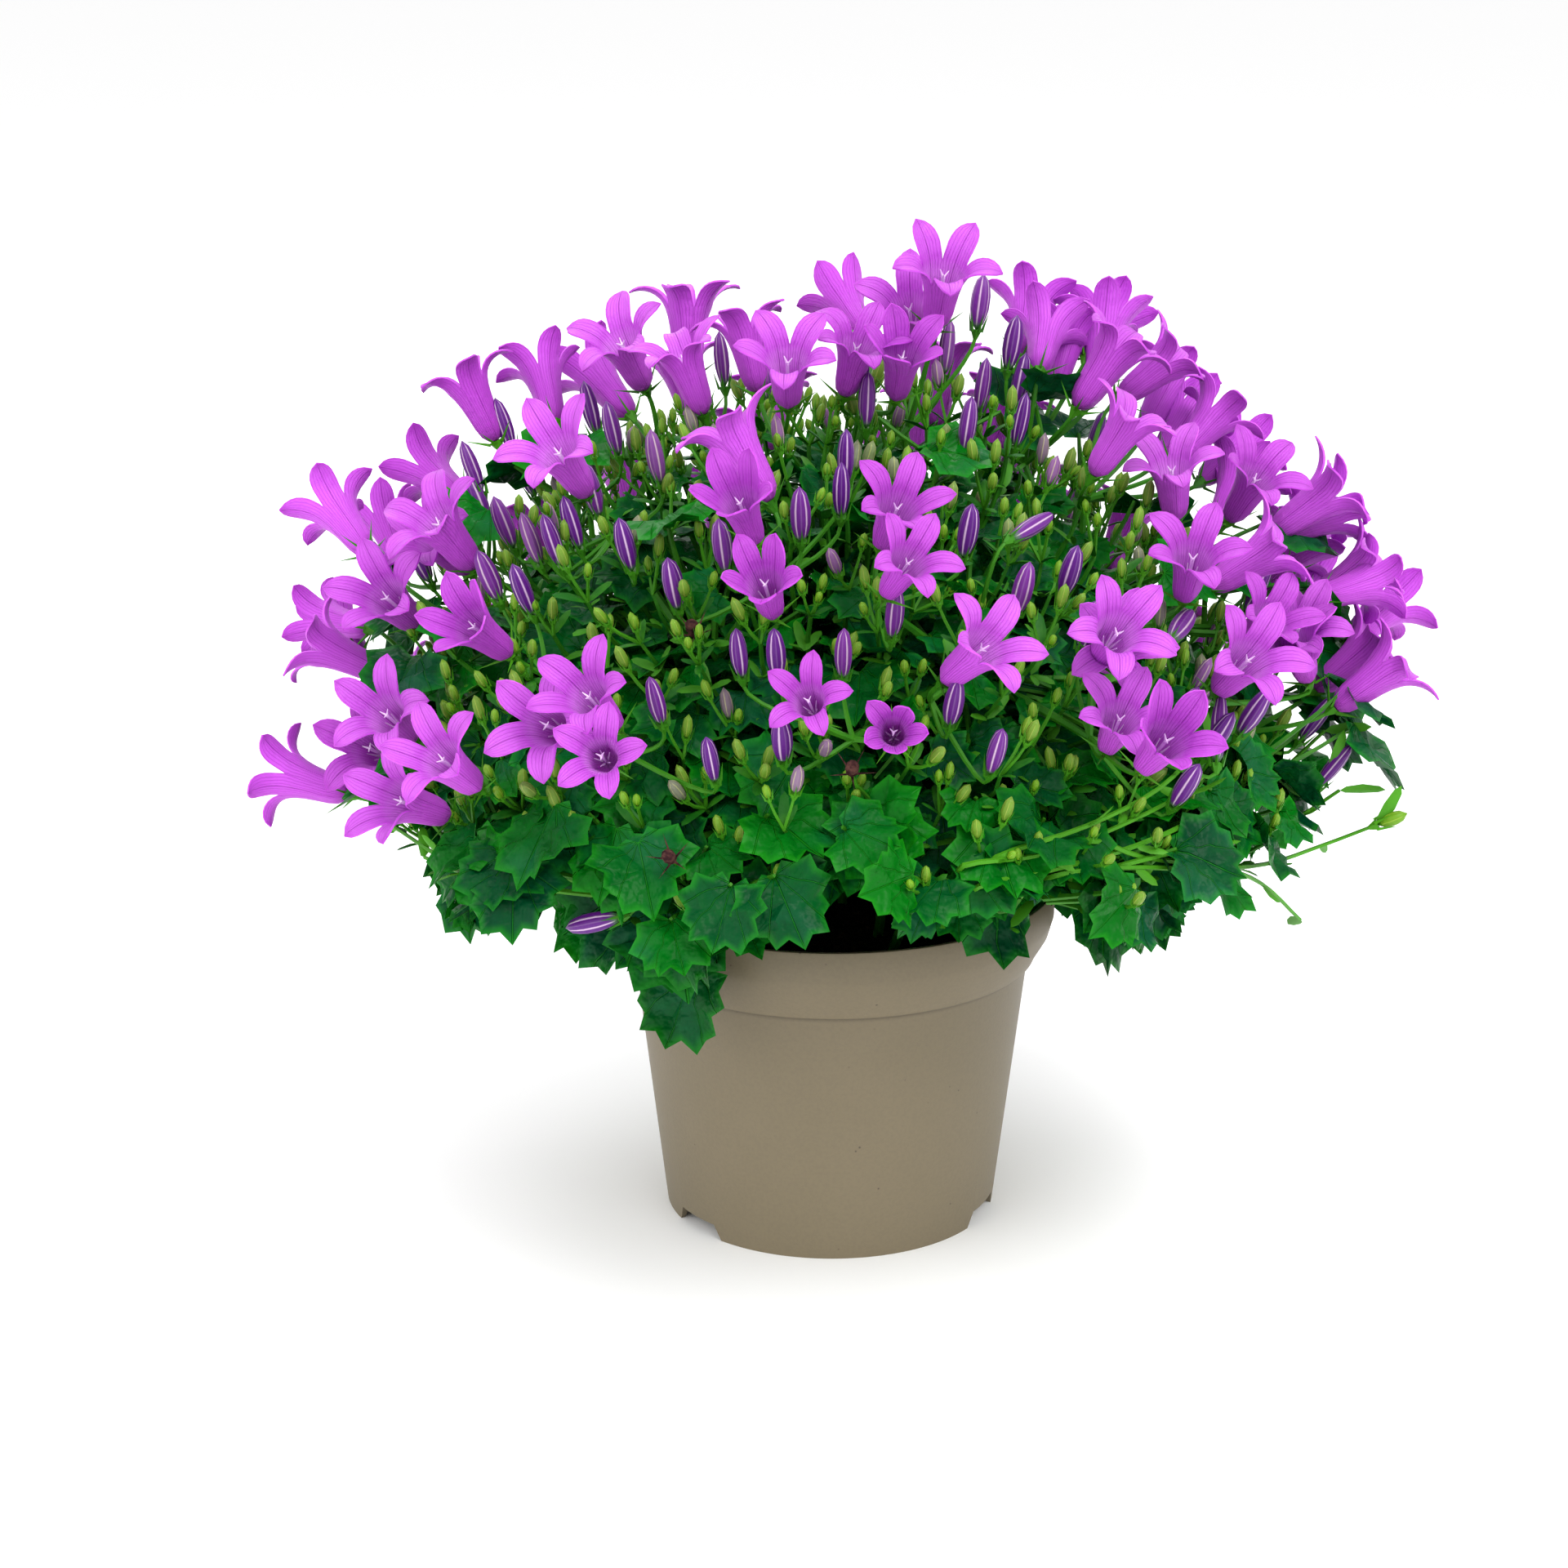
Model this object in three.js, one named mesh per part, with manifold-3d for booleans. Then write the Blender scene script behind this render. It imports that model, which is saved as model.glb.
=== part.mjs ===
// Potted bellflower in full bloom in a plain nursery pot.
// Millimetres, +Z up, the origin at the middle of the pot's foot.

import * as THREE from 'three';
import { mergeVertices } from 'three/addons/utils/BufferGeometryUtils.js';
import Module from 'manifold-3d';

const wasm = await Module();
wasm.setup();

// Driving dimensions

const POT = {
  rimRadius: 60,
  height: 91,
  bandStraight: 8,
  bandHeight: 20,
  shoulderRadius: 54.2,
  baseRadius: 44.8,
  wall: 1.2,
  floorHeight: 5,
  sides: 32,
  notchCount: 3,
  notchHeight: 4.2,
  notchWidth: 19.5,
  notchSlope: 2.6,
  notchDepth: 14,
  firstNotchDeg: -143,
  drainCount: 3,
  drainRadius: 3.4,
  drainCircle: 28,
  drainSides: 6,
};

// How the pot steps out from the shoulder to the band: share of the step, rise above the shoulder.
const BAND_STEP = [[0.28, 2.4], [0.78, 7.4]];

const SOIL = {
  edgeHeight: 80,
  middleHeight: 83,
  sides: 18,
  lump: 0.9,
  lumpPitch: [0.31, 0.27],
  stemHoleDepth: 12,
};

const CROWN = {
  height: 100,
  headReach: 88,
  leafReach: 122,
  leafReachLow: 96,
  bloomReach: 127,
};

// The dense middle of a leafy stem, that its leaves stand out of.
const CUSHION = {
  radius: 50,
  waist: 2,
  depth: 28,
  height: 18,
  sides: 6,
  gap: 0.4,
  underHeight: 92,
  underSlope: 0.34,
};

const STEM = {
  radius: 1.9,
  sides: 4,
  steps: 3,
  clearance: 0.35,
  straight: 16,
  bendHeight: 104,
  bendSpread: 1.1,
};

const BELL = {
  tube: 18,
  receptacleRadius: 1.3,
  baseRadius: 3.9,
  baseHeight: 3.2,
  mouthRadius: 6,
  lobeRise: 4,
  lobeReach: 14.5,
  lobeReachClosed: 4,
  lobeWidth: 8.2,
  lobeLength: 11,
  lobeDroop: 7.6,
  thickness: 1.1,
  throat: 6,
  stalkRadius: 0.6,
  lobes: 5,
};

const BUD = {
  length: 15,
  radius: 2.8,
  neckRadius: 1.1,
  fullest: 0.42,
  sides: 5,
};

const GREEN_BUD = {
  length: 6,
  radius: 1.9,
  neckRadius: 0.55,
  sides: 4,
};

const LEAF = {
  length: 21,
  thickness: 1.5,
  sinkShare: 0.85,
  middle: 0.2,
  clearance: 0.8,
  leastLead: 0.25,
};

// Where the bells and buds of a spray part from one stalk.
const HUB = {
  radius: 2.1,
  reach: 114,
  belowBells: 9,
  drop: 9,
  leastReach: 31,
  leastFoot: 27.5,
  stubFrom: 12,
};

const GAP = 0.3;
const GOLDEN_ANGLE = Math.PI * (3 - Math.sqrt(5));

// The place that the blooms are seen from, in pixels of a square picture 1920 wide.
const VIEW = {
  eye: new THREE.Vector3(-12.7, -833.7, 370.7),
  pitch: THREE.MathUtils.degToRad(16.9),
  focal: 4000,
  centre: 960,
};

// Flower sprays that show from the front. Each bell gives the pixel of its base and of the
// middle of its mouth. A fifth number sets it further back along the line of sight.
const FRONT_SPRAYS = [
  [[608, 541, 568, 462], [679, 518, 662, 451]],
  [[790, 476, 758, 415, -6], [772, 510, 730, 460, 30]],
  [[720, 606, 682, 552]],
  [[565, 609, 526, 577, 8], [581, 695, 534, 638], [493, 701, 471, 638, 28]],
  [[450, 676, 412, 626], [510, 764, 471, 730]],
  [[469, 826, 383, 785, -6], [440, 800, 415, 765, 22]],
  [[624, 801, 575, 764]],
  [[428, 973, 356, 950]],
  [[506, 904, 469, 872, 12], [586, 965, 536, 926, -8]],
  [[549, 999, 486, 980, 10], [480, 930, 450, 915, 40]],
  [[843, 460, 843, 370, 4], [862, 508, 832, 428]],
  [[929, 481, 910, 395, 12], [965, 497, 964, 437, -4]],
  [[943, 615, 894, 530, 6], [925, 664, 903, 610, -4], [947, 753, 934, 708]],
  [[1060, 410, 1034, 370, 18], [1034, 484, 1052, 414, 2], [1097, 488, 1106, 432, 2]],
  [[1145, 401, 1156, 334, -20], [1120, 425, 1113, 375, -2]],
  [[1079, 670, 1102, 614, 4], [1084, 729, 1120, 678, -8]],
  [[1156, 834, 1209, 790]],
  [[1349, 813, 1367, 790, 14], [1355, 918, 1375, 872, 8], [1398, 941, 1430, 905, -14]],
  [[1094, 905, 1094, 893, 6], [1000, 880, 985, 848]],
  [[1449, 734, 1462, 678]],
  [[1490, 846, 1531, 806], [1602, 834, 1582, 775, -10]],
  [[1633, 867, 1709, 811, -6]],
  [[1612, 734, 1679, 714], [1570, 760, 1597, 724, 24], [1556, 658, 1628, 627, 10]],
  [[1505, 637, 1541, 581, -4], [1439, 637, 1434, 566, -4]],
  [[1272, 455, 1281, 404], [1318, 501, 1375, 416, -8], [1330, 440, 1354, 397, 26]],
  [[1370, 489, 1444, 432, 16], [1338, 583, 1387, 510, -2], [1420, 560, 1455, 505, 26]],
  [[700, 900, 666, 887, 6], [755, 891, 715, 847, -2], [745, 935, 733, 923, -8]],
];

// Purple buds that show from the front, by the pixel of their middle.
const FRONT_BUDS = [
  [617, 520], [723, 500], [884, 440], [803, 560], [766, 667], [824, 715],
  [617, 640], [650, 660], [640, 722], [725, 600], [870, 930], [803, 858],
  [980, 630], [950, 800], [957, 905], [1033, 800], [1036, 560], [1095, 750],
  [1185, 520], [1250, 515], [1275, 635], [1160, 425], [1200, 370], [1240, 420],
  [1253, 720], [1335, 765], [1455, 750], [1168, 860], [1185, 650], [1220, 920],
  [1452, 962], [1493, 900], [1612, 880], [1633, 938],
];

// Sprays on the far side of the crown, at the front's spacing: turn round it and height above
// the level in degrees, and the count of bells.
const BACK_SPRAYS = [
  [34, 8, 3], [62, 14, 3], [91, 20, 3], [120, 13, 3], [149, 7, 3],
  [46, 34, 2], [76, 44, 2], [107, 39, 2], [135, 34, 2],
  [52, 60, 2], [118, 60, 2],
];

const BACK_SPREAD = 0.13;

// Rings of leafy stems round the crown, from the rim up to the top.
const HEAD_RINGS = [
  { count: 8, elevation: 7, turn: 22.5, foot: 36 },
  { count: 6, elevation: 45, turn: 0, foot: 22 },
  { count: 1, elevation: 90, turn: 0, foot: 3 },
];

const LEAF_COUNT = 91;
const GREEN_BUD_COUNT = 30;
const BACK_BUD_COUNT = 12;

// The opening over the front of the rim.
const OPENING = {
  turnDeg: -89,
  height: 98,
  halfWidth: 16,
  near: 30,
  far: 130,
};

// Lowest leaves, as angles above the level of the crown's middle. The skirt is open in front.
const SKIRT = {
  lowestDeg: -16,
  frontDeg: -92,
  frontLowestDeg: 8,
};

// Leaves that hang over the rim of the pot: turn round it in degrees, distance out, height.
const RIM_LEAVES = [
  [-134, 8, 86], [-152, 16, 104], [-58, 16, 114], [-32, 20, 103], [-14, 26, 101], [28, 14, 98],
  [76, 12, 96], [124, 15, 98], [168, 20, 98],
];

// Turns and shifts that a leaf is tried at, until it lies clear of its neighbours.
const LEAF_TRIES = [
  [0, 0], [0.6, -2], [-0.6, -2], [1.2, 0], [-1.2, 0],
  [0, -6], [0.9, -6], [-0.9, -6], [2, -3], [-2, -3],
];

const GREEN_BUD_TRIES = [0, 0.05, -0.05, 0.1, -0.1];

// How far buds lean up, as a share of their way out.
const BUD_LEAN = 1.15;

const crown = new THREE.Vector3(0, 0, CROWN.height);
const up = new THREE.Vector3(0, 0, 1);

// Small helpers

const radians = THREE.MathUtils.degToRad;
const mix = THREE.MathUtils.lerp;

// The same number between 0 and 1 for the same seed, every time.
function chance(seed) {
  const value = Math.sin(seed * 12.9898 + 4.1414) * 43758.5453;
  return value - Math.floor(value);
}

function spread(seed, low, high) {
  return mix(low, high, chance(seed));
}

function along(from, direction, distance) {
  return from.clone().addScaledVector(direction, distance);
}

function directionTo(from, to) {
  return to.clone().sub(from).normalize();
}

// Unit vector from the crown at an angle round it and an angle above the level.
function bearing(turn, elevation) {
  return new THREE.Vector3(
    Math.cos(turn) * Math.cos(elevation),
    Math.sin(turn) * Math.cos(elevation),
    Math.sin(elevation),
  );
}

// Two directions across an axis, turned round it by an angle.
function acrossAxis(axis, turn) {
  const helper = Math.abs(axis.z) < 0.95 ? up : new THREE.Vector3(1, 0, 0);
  const side = new THREE.Vector3().crossVectors(helper, axis).normalize();
  const front = new THREE.Vector3().crossVectors(axis, side);
  const u = side.clone().multiplyScalar(Math.cos(turn)).addScaledVector(front, Math.sin(turn));
  const v = new THREE.Vector3().crossVectors(axis, u);
  return { u, v };
}

// The same frame, carried over from one axis to another without a twist.
function carried(frame, from, to) {
  const swing = new THREE.Quaternion().setFromUnitVectors(from, to);
  return { u: frame.u.clone().applyQuaternion(swing), v: frame.v.clone().applyQuaternion(swing) };
}

// Frames for the lower end of a stalk and for the bend between the stalk and what it carries.
function stalkFrames(frame, axis, root, base) {
  const way = directionTo(root, base);
  const bend = way.clone().add(axis).normalize();
  return [carried(frame, axis, way), carried(frame, axis, bend)];
}

// A closed surface put together from rings of points and single faces.
class Shell {
  constructor() {
    this.points = [];
    this.faces = [];
  }

  add(point) {
    this.points.push(point);
    return this.points.length - 1;
  }

  // Evenly spaced points round a place on an axis. A radius of 0 gives one point.
  ring(middle, frame, radius, sides) {
    if (radius === 0) {
      return [this.add(middle)];
    }
    const indices = [];
    for (let i = 0; i < sides; i += 1) {
      const angle = (2 * Math.PI * i) / sides;
      const point = along(middle, frame.u, radius * Math.cos(angle));
      point.addScaledVector(frame.v, radius * Math.sin(angle));
      indices.push(this.add(point));
    }
    return indices;
  }

  face(a, b, c) {
    this.faces.push(a, b, c);
  }

  // Walls between two rings, which may have different counts of points.
  join(lower, upper, inward = false) {
    let i = 0;
    let j = 0;
    const lowerSteps = lower.length > 1 ? lower.length : 0;
    const upperSteps = upper.length > 1 ? upper.length : 0;
    while (i < lowerSteps || j < upperSteps) {
      const a = lower[i % lower.length];
      const b = upper[j % upper.length];
      const lowerFirst = i < lowerSteps
        && (j >= upperSteps || (i + 0.5) / lowerSteps <= (j + 0.5) / upperSteps);
      const next = lowerFirst ? lower[(i + 1) % lower.length] : upper[(j + 1) % upper.length];
      if (inward) {
        this.face(a, b, next);
      } else {
        this.face(a, next, b);
      }
      if (lowerFirst) {
        i += 1;
      } else {
        j += 1;
      }
    }
  }

  cap(ring, atTop) {
    for (let i = 1; i < ring.length - 1; i += 1) {
      if (atTop) {
        this.face(ring[0], ring[i], ring[i + 1]);
      } else {
        this.face(ring[0], ring[i + 1], ring[i]);
      }
    }
  }

  solid() {
    return new wasm.Manifold(new wasm.Mesh({
      numProp: 3,
      vertProperties: new Float32Array(this.points.flatMap((point) => point.toArray())),
      triVerts: new Uint32Array(this.faces),
    }));
  }
}

// A closed body through a chain of rings { at, radius, sides }, which may have their own frames.
function loft(rings, frame) {
  const shell = new Shell();
  const made = rings.map((ring) => (
    shell.ring(ring.at, ring.frame ?? frame, ring.radius, ring.sides)
  ));
  for (let i = 1; i < made.length; i += 1) {
    shell.join(made[i - 1], made[i]);
  }
  shell.cap(made[0], false);
  shell.cap(made[made.length - 1], true);
  return shell.solid();
}

function solidOf(geometry) {
  const bare = geometry.index ? geometry.toNonIndexed() : geometry.clone();
  bare.deleteAttribute('normal');
  bare.deleteAttribute('uv');
  const merged = mergeVertices(bare, 1e-4);
  const position = merged.getAttribute('position').array;
  const faces = [];
  const index = merged.index.array;
  for (let i = 0; i < index.length; i += 3) {
    const [a, b, c] = [index[i], index[i + 1], index[i + 2]];
    if (a !== b && b !== c && c !== a) {
      faces.push(a, b, c);
    }
  }
  return new wasm.Manifold(new wasm.Mesh({
    numProp: 3,
    vertProperties: new Float32Array(position),
    triVerts: new Uint32Array(faces),
  }));
}

function geometryOf(solid) {
  const mesh = solid.getMesh();
  const geometry = new THREE.BufferGeometry();
  geometry.setAttribute('position', new THREE.BufferAttribute(mesh.vertProperties, mesh.numProp));
  geometry.setIndex(new THREE.BufferAttribute(mesh.triVerts, 1));
  geometry.computeVertexNormals();
  return geometry;
}

// Pot: a moulded shell with a deep band at the rim, foot notches and drain holes

function latheSolid(profile, sides) {
  const points = profile.map(([radius, height]) => new THREE.Vector2(radius, height));
  const geometry = new THREE.LatheGeometry(points, sides);
  geometry.rotateX(Math.PI / 2);
  return solidOf(geometry);
}

const shoulderHeight = POT.height - POT.bandHeight;
const bandFoot = POT.height - POT.bandStraight;
const bandStep = POT.rimRadius - POT.shoulderRadius;

function potOuterRadius(height) {
  return mix(POT.baseRadius, POT.shoulderRadius, height / shoulderHeight);
}

// The two bends of the step, moved inward and up by the same amounts.
function bandBends(inward, rise) {
  return BAND_STEP.map(([share, height]) => [
    POT.shoulderRadius + share * bandStep - inward,
    shoulderHeight + height + rise,
  ]);
}

function makePot() {
  const floorTop = POT.floorHeight + POT.wall;
  const outer = [
    [POT.baseRadius, 0],
    [POT.shoulderRadius, shoulderHeight],
    ...bandBends(0, 0),
    [POT.rimRadius, bandFoot],
    [POT.rimRadius, POT.height],
  ];
  const inner = [
    [POT.rimRadius - POT.wall, POT.height],
    [POT.rimRadius - POT.wall, bandFoot + 0.2],
    bandBends(POT.wall, 0.4)[1],
    [POT.shoulderRadius - POT.wall, shoulderHeight + GAP],
    [potOuterRadius(POT.floorHeight) - POT.wall, floorTop],
    [0, floorTop],
    [0, POT.floorHeight],
    [POT.baseRadius - 2 * POT.wall, POT.floorHeight],
    [POT.baseRadius - POT.wall, 0],
    [POT.baseRadius, 0],
  ];
  let pot = latheSolid([...outer, ...inner], POT.sides);
  for (let i = 0; i < POT.notchCount; i += 1) {
    const turn = radians(POT.firstNotchDeg + (360 / POT.notchCount) * i);
    pot = pot.subtract(solidOf(notchGeometry(turn)));
  }
  for (let i = 0; i < POT.drainCount; i += 1) {
    const out = bearing((2 * Math.PI * i) / POT.drainCount, 0);
    const foot = along(new THREE.Vector3(), out, POT.drainCircle);
    const hole = loft([
      { at: foot, radius: POT.drainRadius, sides: POT.drainSides },
      { at: along(foot, up, floorTop + 1), radius: POT.drainRadius, sides: POT.drainSides },
    ], acrossAxis(up, 0));
    pot = pot.subtract(hole);
  }
  return pot;
}

// A foot notch is a low arch with sloped sides, cut straight through the skirt.
function notchGeometry(turn) {
  const half = POT.notchWidth / 2;
  const slope = POT.notchSlope;
  const arch = new THREE.Shape();
  arch.moveTo(-half, -1);
  arch.lineTo(half, -1);
  arch.lineTo(half - slope / 4, POT.notchHeight / 3);
  arch.lineTo(half - slope, POT.notchHeight);
  arch.lineTo(slope - half, POT.notchHeight);
  arch.lineTo(slope / 4 - half, POT.notchHeight / 3);
  arch.closePath();
  const geometry = new THREE.ExtrudeGeometry(arch, {
    depth: POT.notchDepth,
    bevelEnabled: false,
  });
  geometry.rotateX(Math.PI / 2);
  geometry.translate(0, POT.notchDepth / 2 - POT.baseRadius, 0);
  geometry.rotateZ(turn + Math.PI / 2);
  return geometry;
}

// Soil: a lumpy plug that fills the pot, with a plain hole for each stem

function makeSoil(holes) {
  const inset = POT.wall + GAP;
  const bottom = POT.floorHeight + inset;
  const edge = bandBends(inset, 0)[1][0];
  const profile = [
    [0, bottom],
    [potOuterRadius(bottom) - inset - 0.4, bottom],
    [POT.shoulderRadius - inset - 0.2, shoulderHeight + 1.2],
    [edge - 0.3, SOIL.edgeHeight - 0.6],
    [0.72 * edge, mix(SOIL.edgeHeight, SOIL.middleHeight, 0.5)],
    [0.36 * edge, mix(SOIL.edgeHeight, SOIL.middleHeight, 0.9)],
    [0, SOIL.middleHeight],
  ];
  const points = profile.map(([radius, height]) => new THREE.Vector2(radius, height));
  const geometry = new THREE.LatheGeometry(points, SOIL.sides);
  geometry.rotateX(Math.PI / 2);
  const position = geometry.getAttribute('position');
  for (let i = 0; i < position.count; i += 1) {
    const z = position.getZ(i);
    if (z > SOIL.edgeHeight) {
      const wave = Math.sin(SOIL.lumpPitch[0] * position.getX(i) + 0.7);
      position.setZ(i, z + SOIL.lump * wave * Math.cos(SOIL.lumpPitch[1] * position.getY(i) - 0.4));
    }
  }
  let soil = solidOf(geometry);
  const holeRadius = STEM.radius + STEM.clearance;
  for (const hole of holes) {
    const drill = loft([
      { at: along(hole, up, -GAP), radius: holeRadius, sides: STEM.sides },
      { at: along(hole, up, 2 * SOIL.stemHoleDepth), radius: holeRadius, sides: STEM.sides },
    ], acrossAxis(up, 0));
    soil = soil.subtract(drill);
  }
  return soil;
}

// Bell: a five-sided tube that opens in five pointed lobes, on its own stalk

function makeBell({ root, base, mouth, turn, flare }) {
  const shell = new Shell();
  const axis = directionTo(base, mouth);
  const frame = acrossAxis(axis, turn);
  const place = (radius, height, angle) => {
    const point = along(base, axis, height);
    point.addScaledVector(frame.u, radius * Math.cos(angle));
    return point.addScaledVector(frame.v, radius * Math.sin(angle));
  };
  const [footFrame, bendFrame] = stalkFrames(frame, axis, root, base);
  const foot = shell.ring(root, footFrame, BELL.stalkRadius, 3);
  const receptacle = shell.ring(base, bendFrame, BELL.receptacleRadius, 3);
  const waist = shell.ring(
    along(base, axis, BELL.baseHeight),
    frame,
    BELL.baseRadius,
    BELL.lobes,
  );
  const middleRadius = BELL.mouthRadius + mix(-0.5, 2.4, flare);
  const middleHeight = BELL.tube + BELL.lobeRise;
  const tipRadius = mix(BELL.lobeReachClosed, BELL.lobeReach, flare);
  const tipHeight = BELL.tube + BELL.lobeLength - BELL.lobeDroop * flare;
  const sideRadius = mix(middleRadius, tipRadius, 0.36);
  const sideHeight = mix(middleHeight, tipHeight, 0.5) + 0.9 * flare;
  const sideAngle = Math.atan2(BELL.lobeWidth / 2, sideRadius);
  const lift = BELL.thickness / 2;
  const notches = [];
  const outerMiddles = [];
  const innerMiddles = [];
  const sides = [];
  const tips = [];
  for (let i = 0; i < BELL.lobes; i += 1) {
    const angle = (2 * Math.PI * i) / BELL.lobes;
    const middle = angle + Math.PI / BELL.lobes;
    notches.push(shell.add(place(BELL.mouthRadius, BELL.tube, angle)));
    outerMiddles.push(shell.add(place(middleRadius + 0.6 * lift, middleHeight - lift, middle)));
    innerMiddles.push(shell.add(place(middleRadius - 0.6 * lift, middleHeight + lift, middle)));
    sides.push([
      shell.add(place(sideRadius, sideHeight, middle - sideAngle)),
      shell.add(place(sideRadius, sideHeight, middle + sideAngle)),
    ]);
    tips.push(shell.add(place(tipRadius, tipHeight, middle)));
  }
  const outerMouth = notches.flatMap((notch, i) => [notch, outerMiddles[i]]);
  const innerMouth = notches.flatMap((notch, i) => [notch, innerMiddles[i]]);
  const throat = shell.add(along(base, axis, BELL.throat));
  shell.cap(foot, false);
  shell.join(foot, receptacle);
  shell.join(receptacle, waist);
  shell.join(waist, outerMouth);
  for (let i = 0; i < BELL.lobes; i += 1) {
    const nextNotch = notches[(i + 1) % BELL.lobes];
    const outline = [notches[i], sides[i][0], tips[i], sides[i][1], nextNotch];
    for (let k = 1; k < outline.length; k += 1) {
      shell.face(outerMiddles[i], outline[k], outline[k - 1]);
      shell.face(innerMiddles[i], outline[k - 1], outline[k]);
    }
  }
  shell.join([throat], innerMouth, true);
  return shell.solid();
}

// Bud: a long folded bell with five pleats, on its own stalk

function makeBud({ root, base, tip, size, grow = 0 }) {
  const axis = directionTo(base, tip);
  const fullest = along(base, axis, BUD.fullest * base.distanceTo(tip));
  const frame = acrossAxis(axis, 0.3);
  const [footFrame, bendFrame] = stalkFrames(frame, axis, root, base);
  return loft([
    { at: root, radius: BELL.stalkRadius + grow, sides: 3, frame: footFrame },
    { at: base, radius: BUD.neckRadius + grow, sides: BUD.sides, frame: bendFrame },
    { at: fullest, radius: BUD.radius * size + grow, sides: BUD.sides },
    { at: along(tip, axis, grow), radius: 0, sides: BUD.sides },
  ], frame);
}

function makeGreenBud({ root, base, tip, size, grow = 0 }) {
  const axis = directionTo(base, tip);
  const sides = GREEN_BUD.sides;
  return loft([
    { at: root, radius: 0, sides },
    { at: base, radius: GREEN_BUD.neckRadius + grow, sides },
    { at: base.clone().lerp(tip, 0.5), radius: GREEN_BUD.radius * size + grow, sides },
    { at: along(tip, axis, grow), radius: 0, sides },
  ], acrossAxis(axis, 0.5));
}

// Leaf: an ivy-like blade with coarse teeth, thickest at the middle, tapering into its stalk

const LEAF_HALF_OUTLINE = [
  [0.06, -0.06],
  [0.4, -0.3],
  [0.34, -0.02],
  [0.68, 0.12],
  [0.36, 0.32],
  [0.46, 0.66],
];

function makeLeaf({ root, place, ahead, face, length, bend, grow = 0 }) {
  const side = new THREE.Vector3().crossVectors(ahead, face).normalize();
  const normal = new THREE.Vector3().crossVectors(side, ahead).normalize();
  const scale = length + 2 * grow;
  const at = (x, y, lift) => {
    const sag = bend * (x * x + 0.6 * y * y) * scale;
    const point = along(place, side, x * scale);
    point.addScaledVector(ahead, y * scale);
    return point.addScaledVector(normal, lift - sag);
  };
  const shell = new Shell();
  const outline = [shell.add(root)];
  for (const [x, y] of LEAF_HALF_OUTLINE) {
    outline.push(shell.add(at(x, y, 0)));
  }
  outline.push(shell.add(at(0, 1, 0)));
  for (const [x, y] of LEAF_HALF_OUTLINE.toReversed()) {
    outline.push(shell.add(at(-x, y, 0)));
  }
  const half = LEAF.thickness / 2 + grow;
  const top = shell.add(at(0, LEAF.middle, half));
  const under = shell.add(at(0, LEAF.middle, -half));
  for (let i = 0; i < outline.length; i += 1) {
    const here = outline[i];
    const next = outline[(i + 1) % outline.length];
    shell.face(top, here, next);
    shell.face(under, next, here);
  }
  return shell.solid();
}

// Places on the crown

function sight(x, y) {
  const across = (x - VIEW.centre) / VIEW.focal;
  const down = (y - VIEW.centre) / VIEW.focal;
  const cos = Math.cos(VIEW.pitch);
  const sin = Math.sin(VIEW.pitch);
  return new THREE.Vector3(across, cos - down * sin, -sin - down * cos).normalize();
}

// Where the line of sight through a pixel meets the dome, or passes it most closely.
function onDome(x, y, reach) {
  const ray = sight(x, y);
  const toCrown = crown.clone().sub(VIEW.eye);
  const nearest = toCrown.dot(ray);
  const missSquared = toCrown.lengthSq() - nearest * nearest;
  const chord = Math.sqrt(Math.max(0, reach * reach - missSquared));
  return along(VIEW.eye, ray, nearest - chord);
}

// The point on a line of sight that is a bell's length from its base, further out if there are two.
function mouthOf(base, x, y) {
  const ray = sight(x, y);
  const toBase = base.clone().sub(VIEW.eye);
  const nearest = toBase.dot(ray);
  const missSquared = toBase.lengthSq() - nearest * nearest;
  const chord = Math.sqrt(Math.max(0, BELL.tube * BELL.tube - missSquared));
  const ends = [along(VIEW.eye, ray, nearest - chord), along(VIEW.eye, ray, nearest + chord)];
  return ends[0].distanceTo(crown) > ends[1].distanceTo(crown) ? ends[0] : ends[1];
}

function headPlaces() {
  const holeFoot = SOIL.edgeHeight - SOIL.stemHoleDepth;
  const places = [];
  for (const ring of HEAD_RINGS) {
    for (let i = 0; i < ring.count; i += 1) {
      const turn = radians(ring.turn + (360 / ring.count) * i);
      const out = bearing(turn, radians(ring.elevation));
      places.push({
        middle: along(crown, out, CROWN.headReach),
        foot: bearing(turn, 0).multiplyScalar(ring.foot).setZ(holeFoot),
        out,
      });
    }
  }
  return places;
}

function frontSprays() {
  return FRONT_SPRAYS.map((bells) => bells.map(([bx, by, mx, my, back = 0]) => {
    const base = along(onDome(bx, by, CROWN.bloomReach), sight(bx, by), back);
    return { base, mouth: mouthOf(base, mx, my) };
  }));
}

function backSprays() {
  return BACK_SPRAYS.map(([turnDeg, elevationDeg, bellCount], i) => {
    const seed = 100 + 20 * i;
    const turn = radians(turnDeg);
    const elevation = radians(elevationDeg);
    const bells = [];
    for (let k = 0; k < bellCount; k += 1) {
      const around = (2 * Math.PI * k) / bellCount + spread(seed + 2, 0, 6);
      const out = bearing(
        turn + (BACK_SPREAD * Math.cos(around)) / Math.cos(elevation),
        elevation + BACK_SPREAD * Math.sin(around),
      );
      const base = along(crown, out, CROWN.bloomReach + spread(seed + 3 + k, -16, -6));
      const lean = along(out, up, spread(seed + 6 + k, 0.2, 0.8));
      lean.addScaledVector(bearing(turn, elevation), -0.5).normalize();
      bells.push({ base, mouth: along(base, lean, BELL.tube) });
    }
    return bells;
  });
}

// Assembly. What is placed is kept by node, so that each new piece can be set clear of the others.

const placed = [];

function keep(node, solid, isBlade = false) {
  placed.push({ node, solid, isBlade, box: solid.boundingBox() });
}

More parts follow.
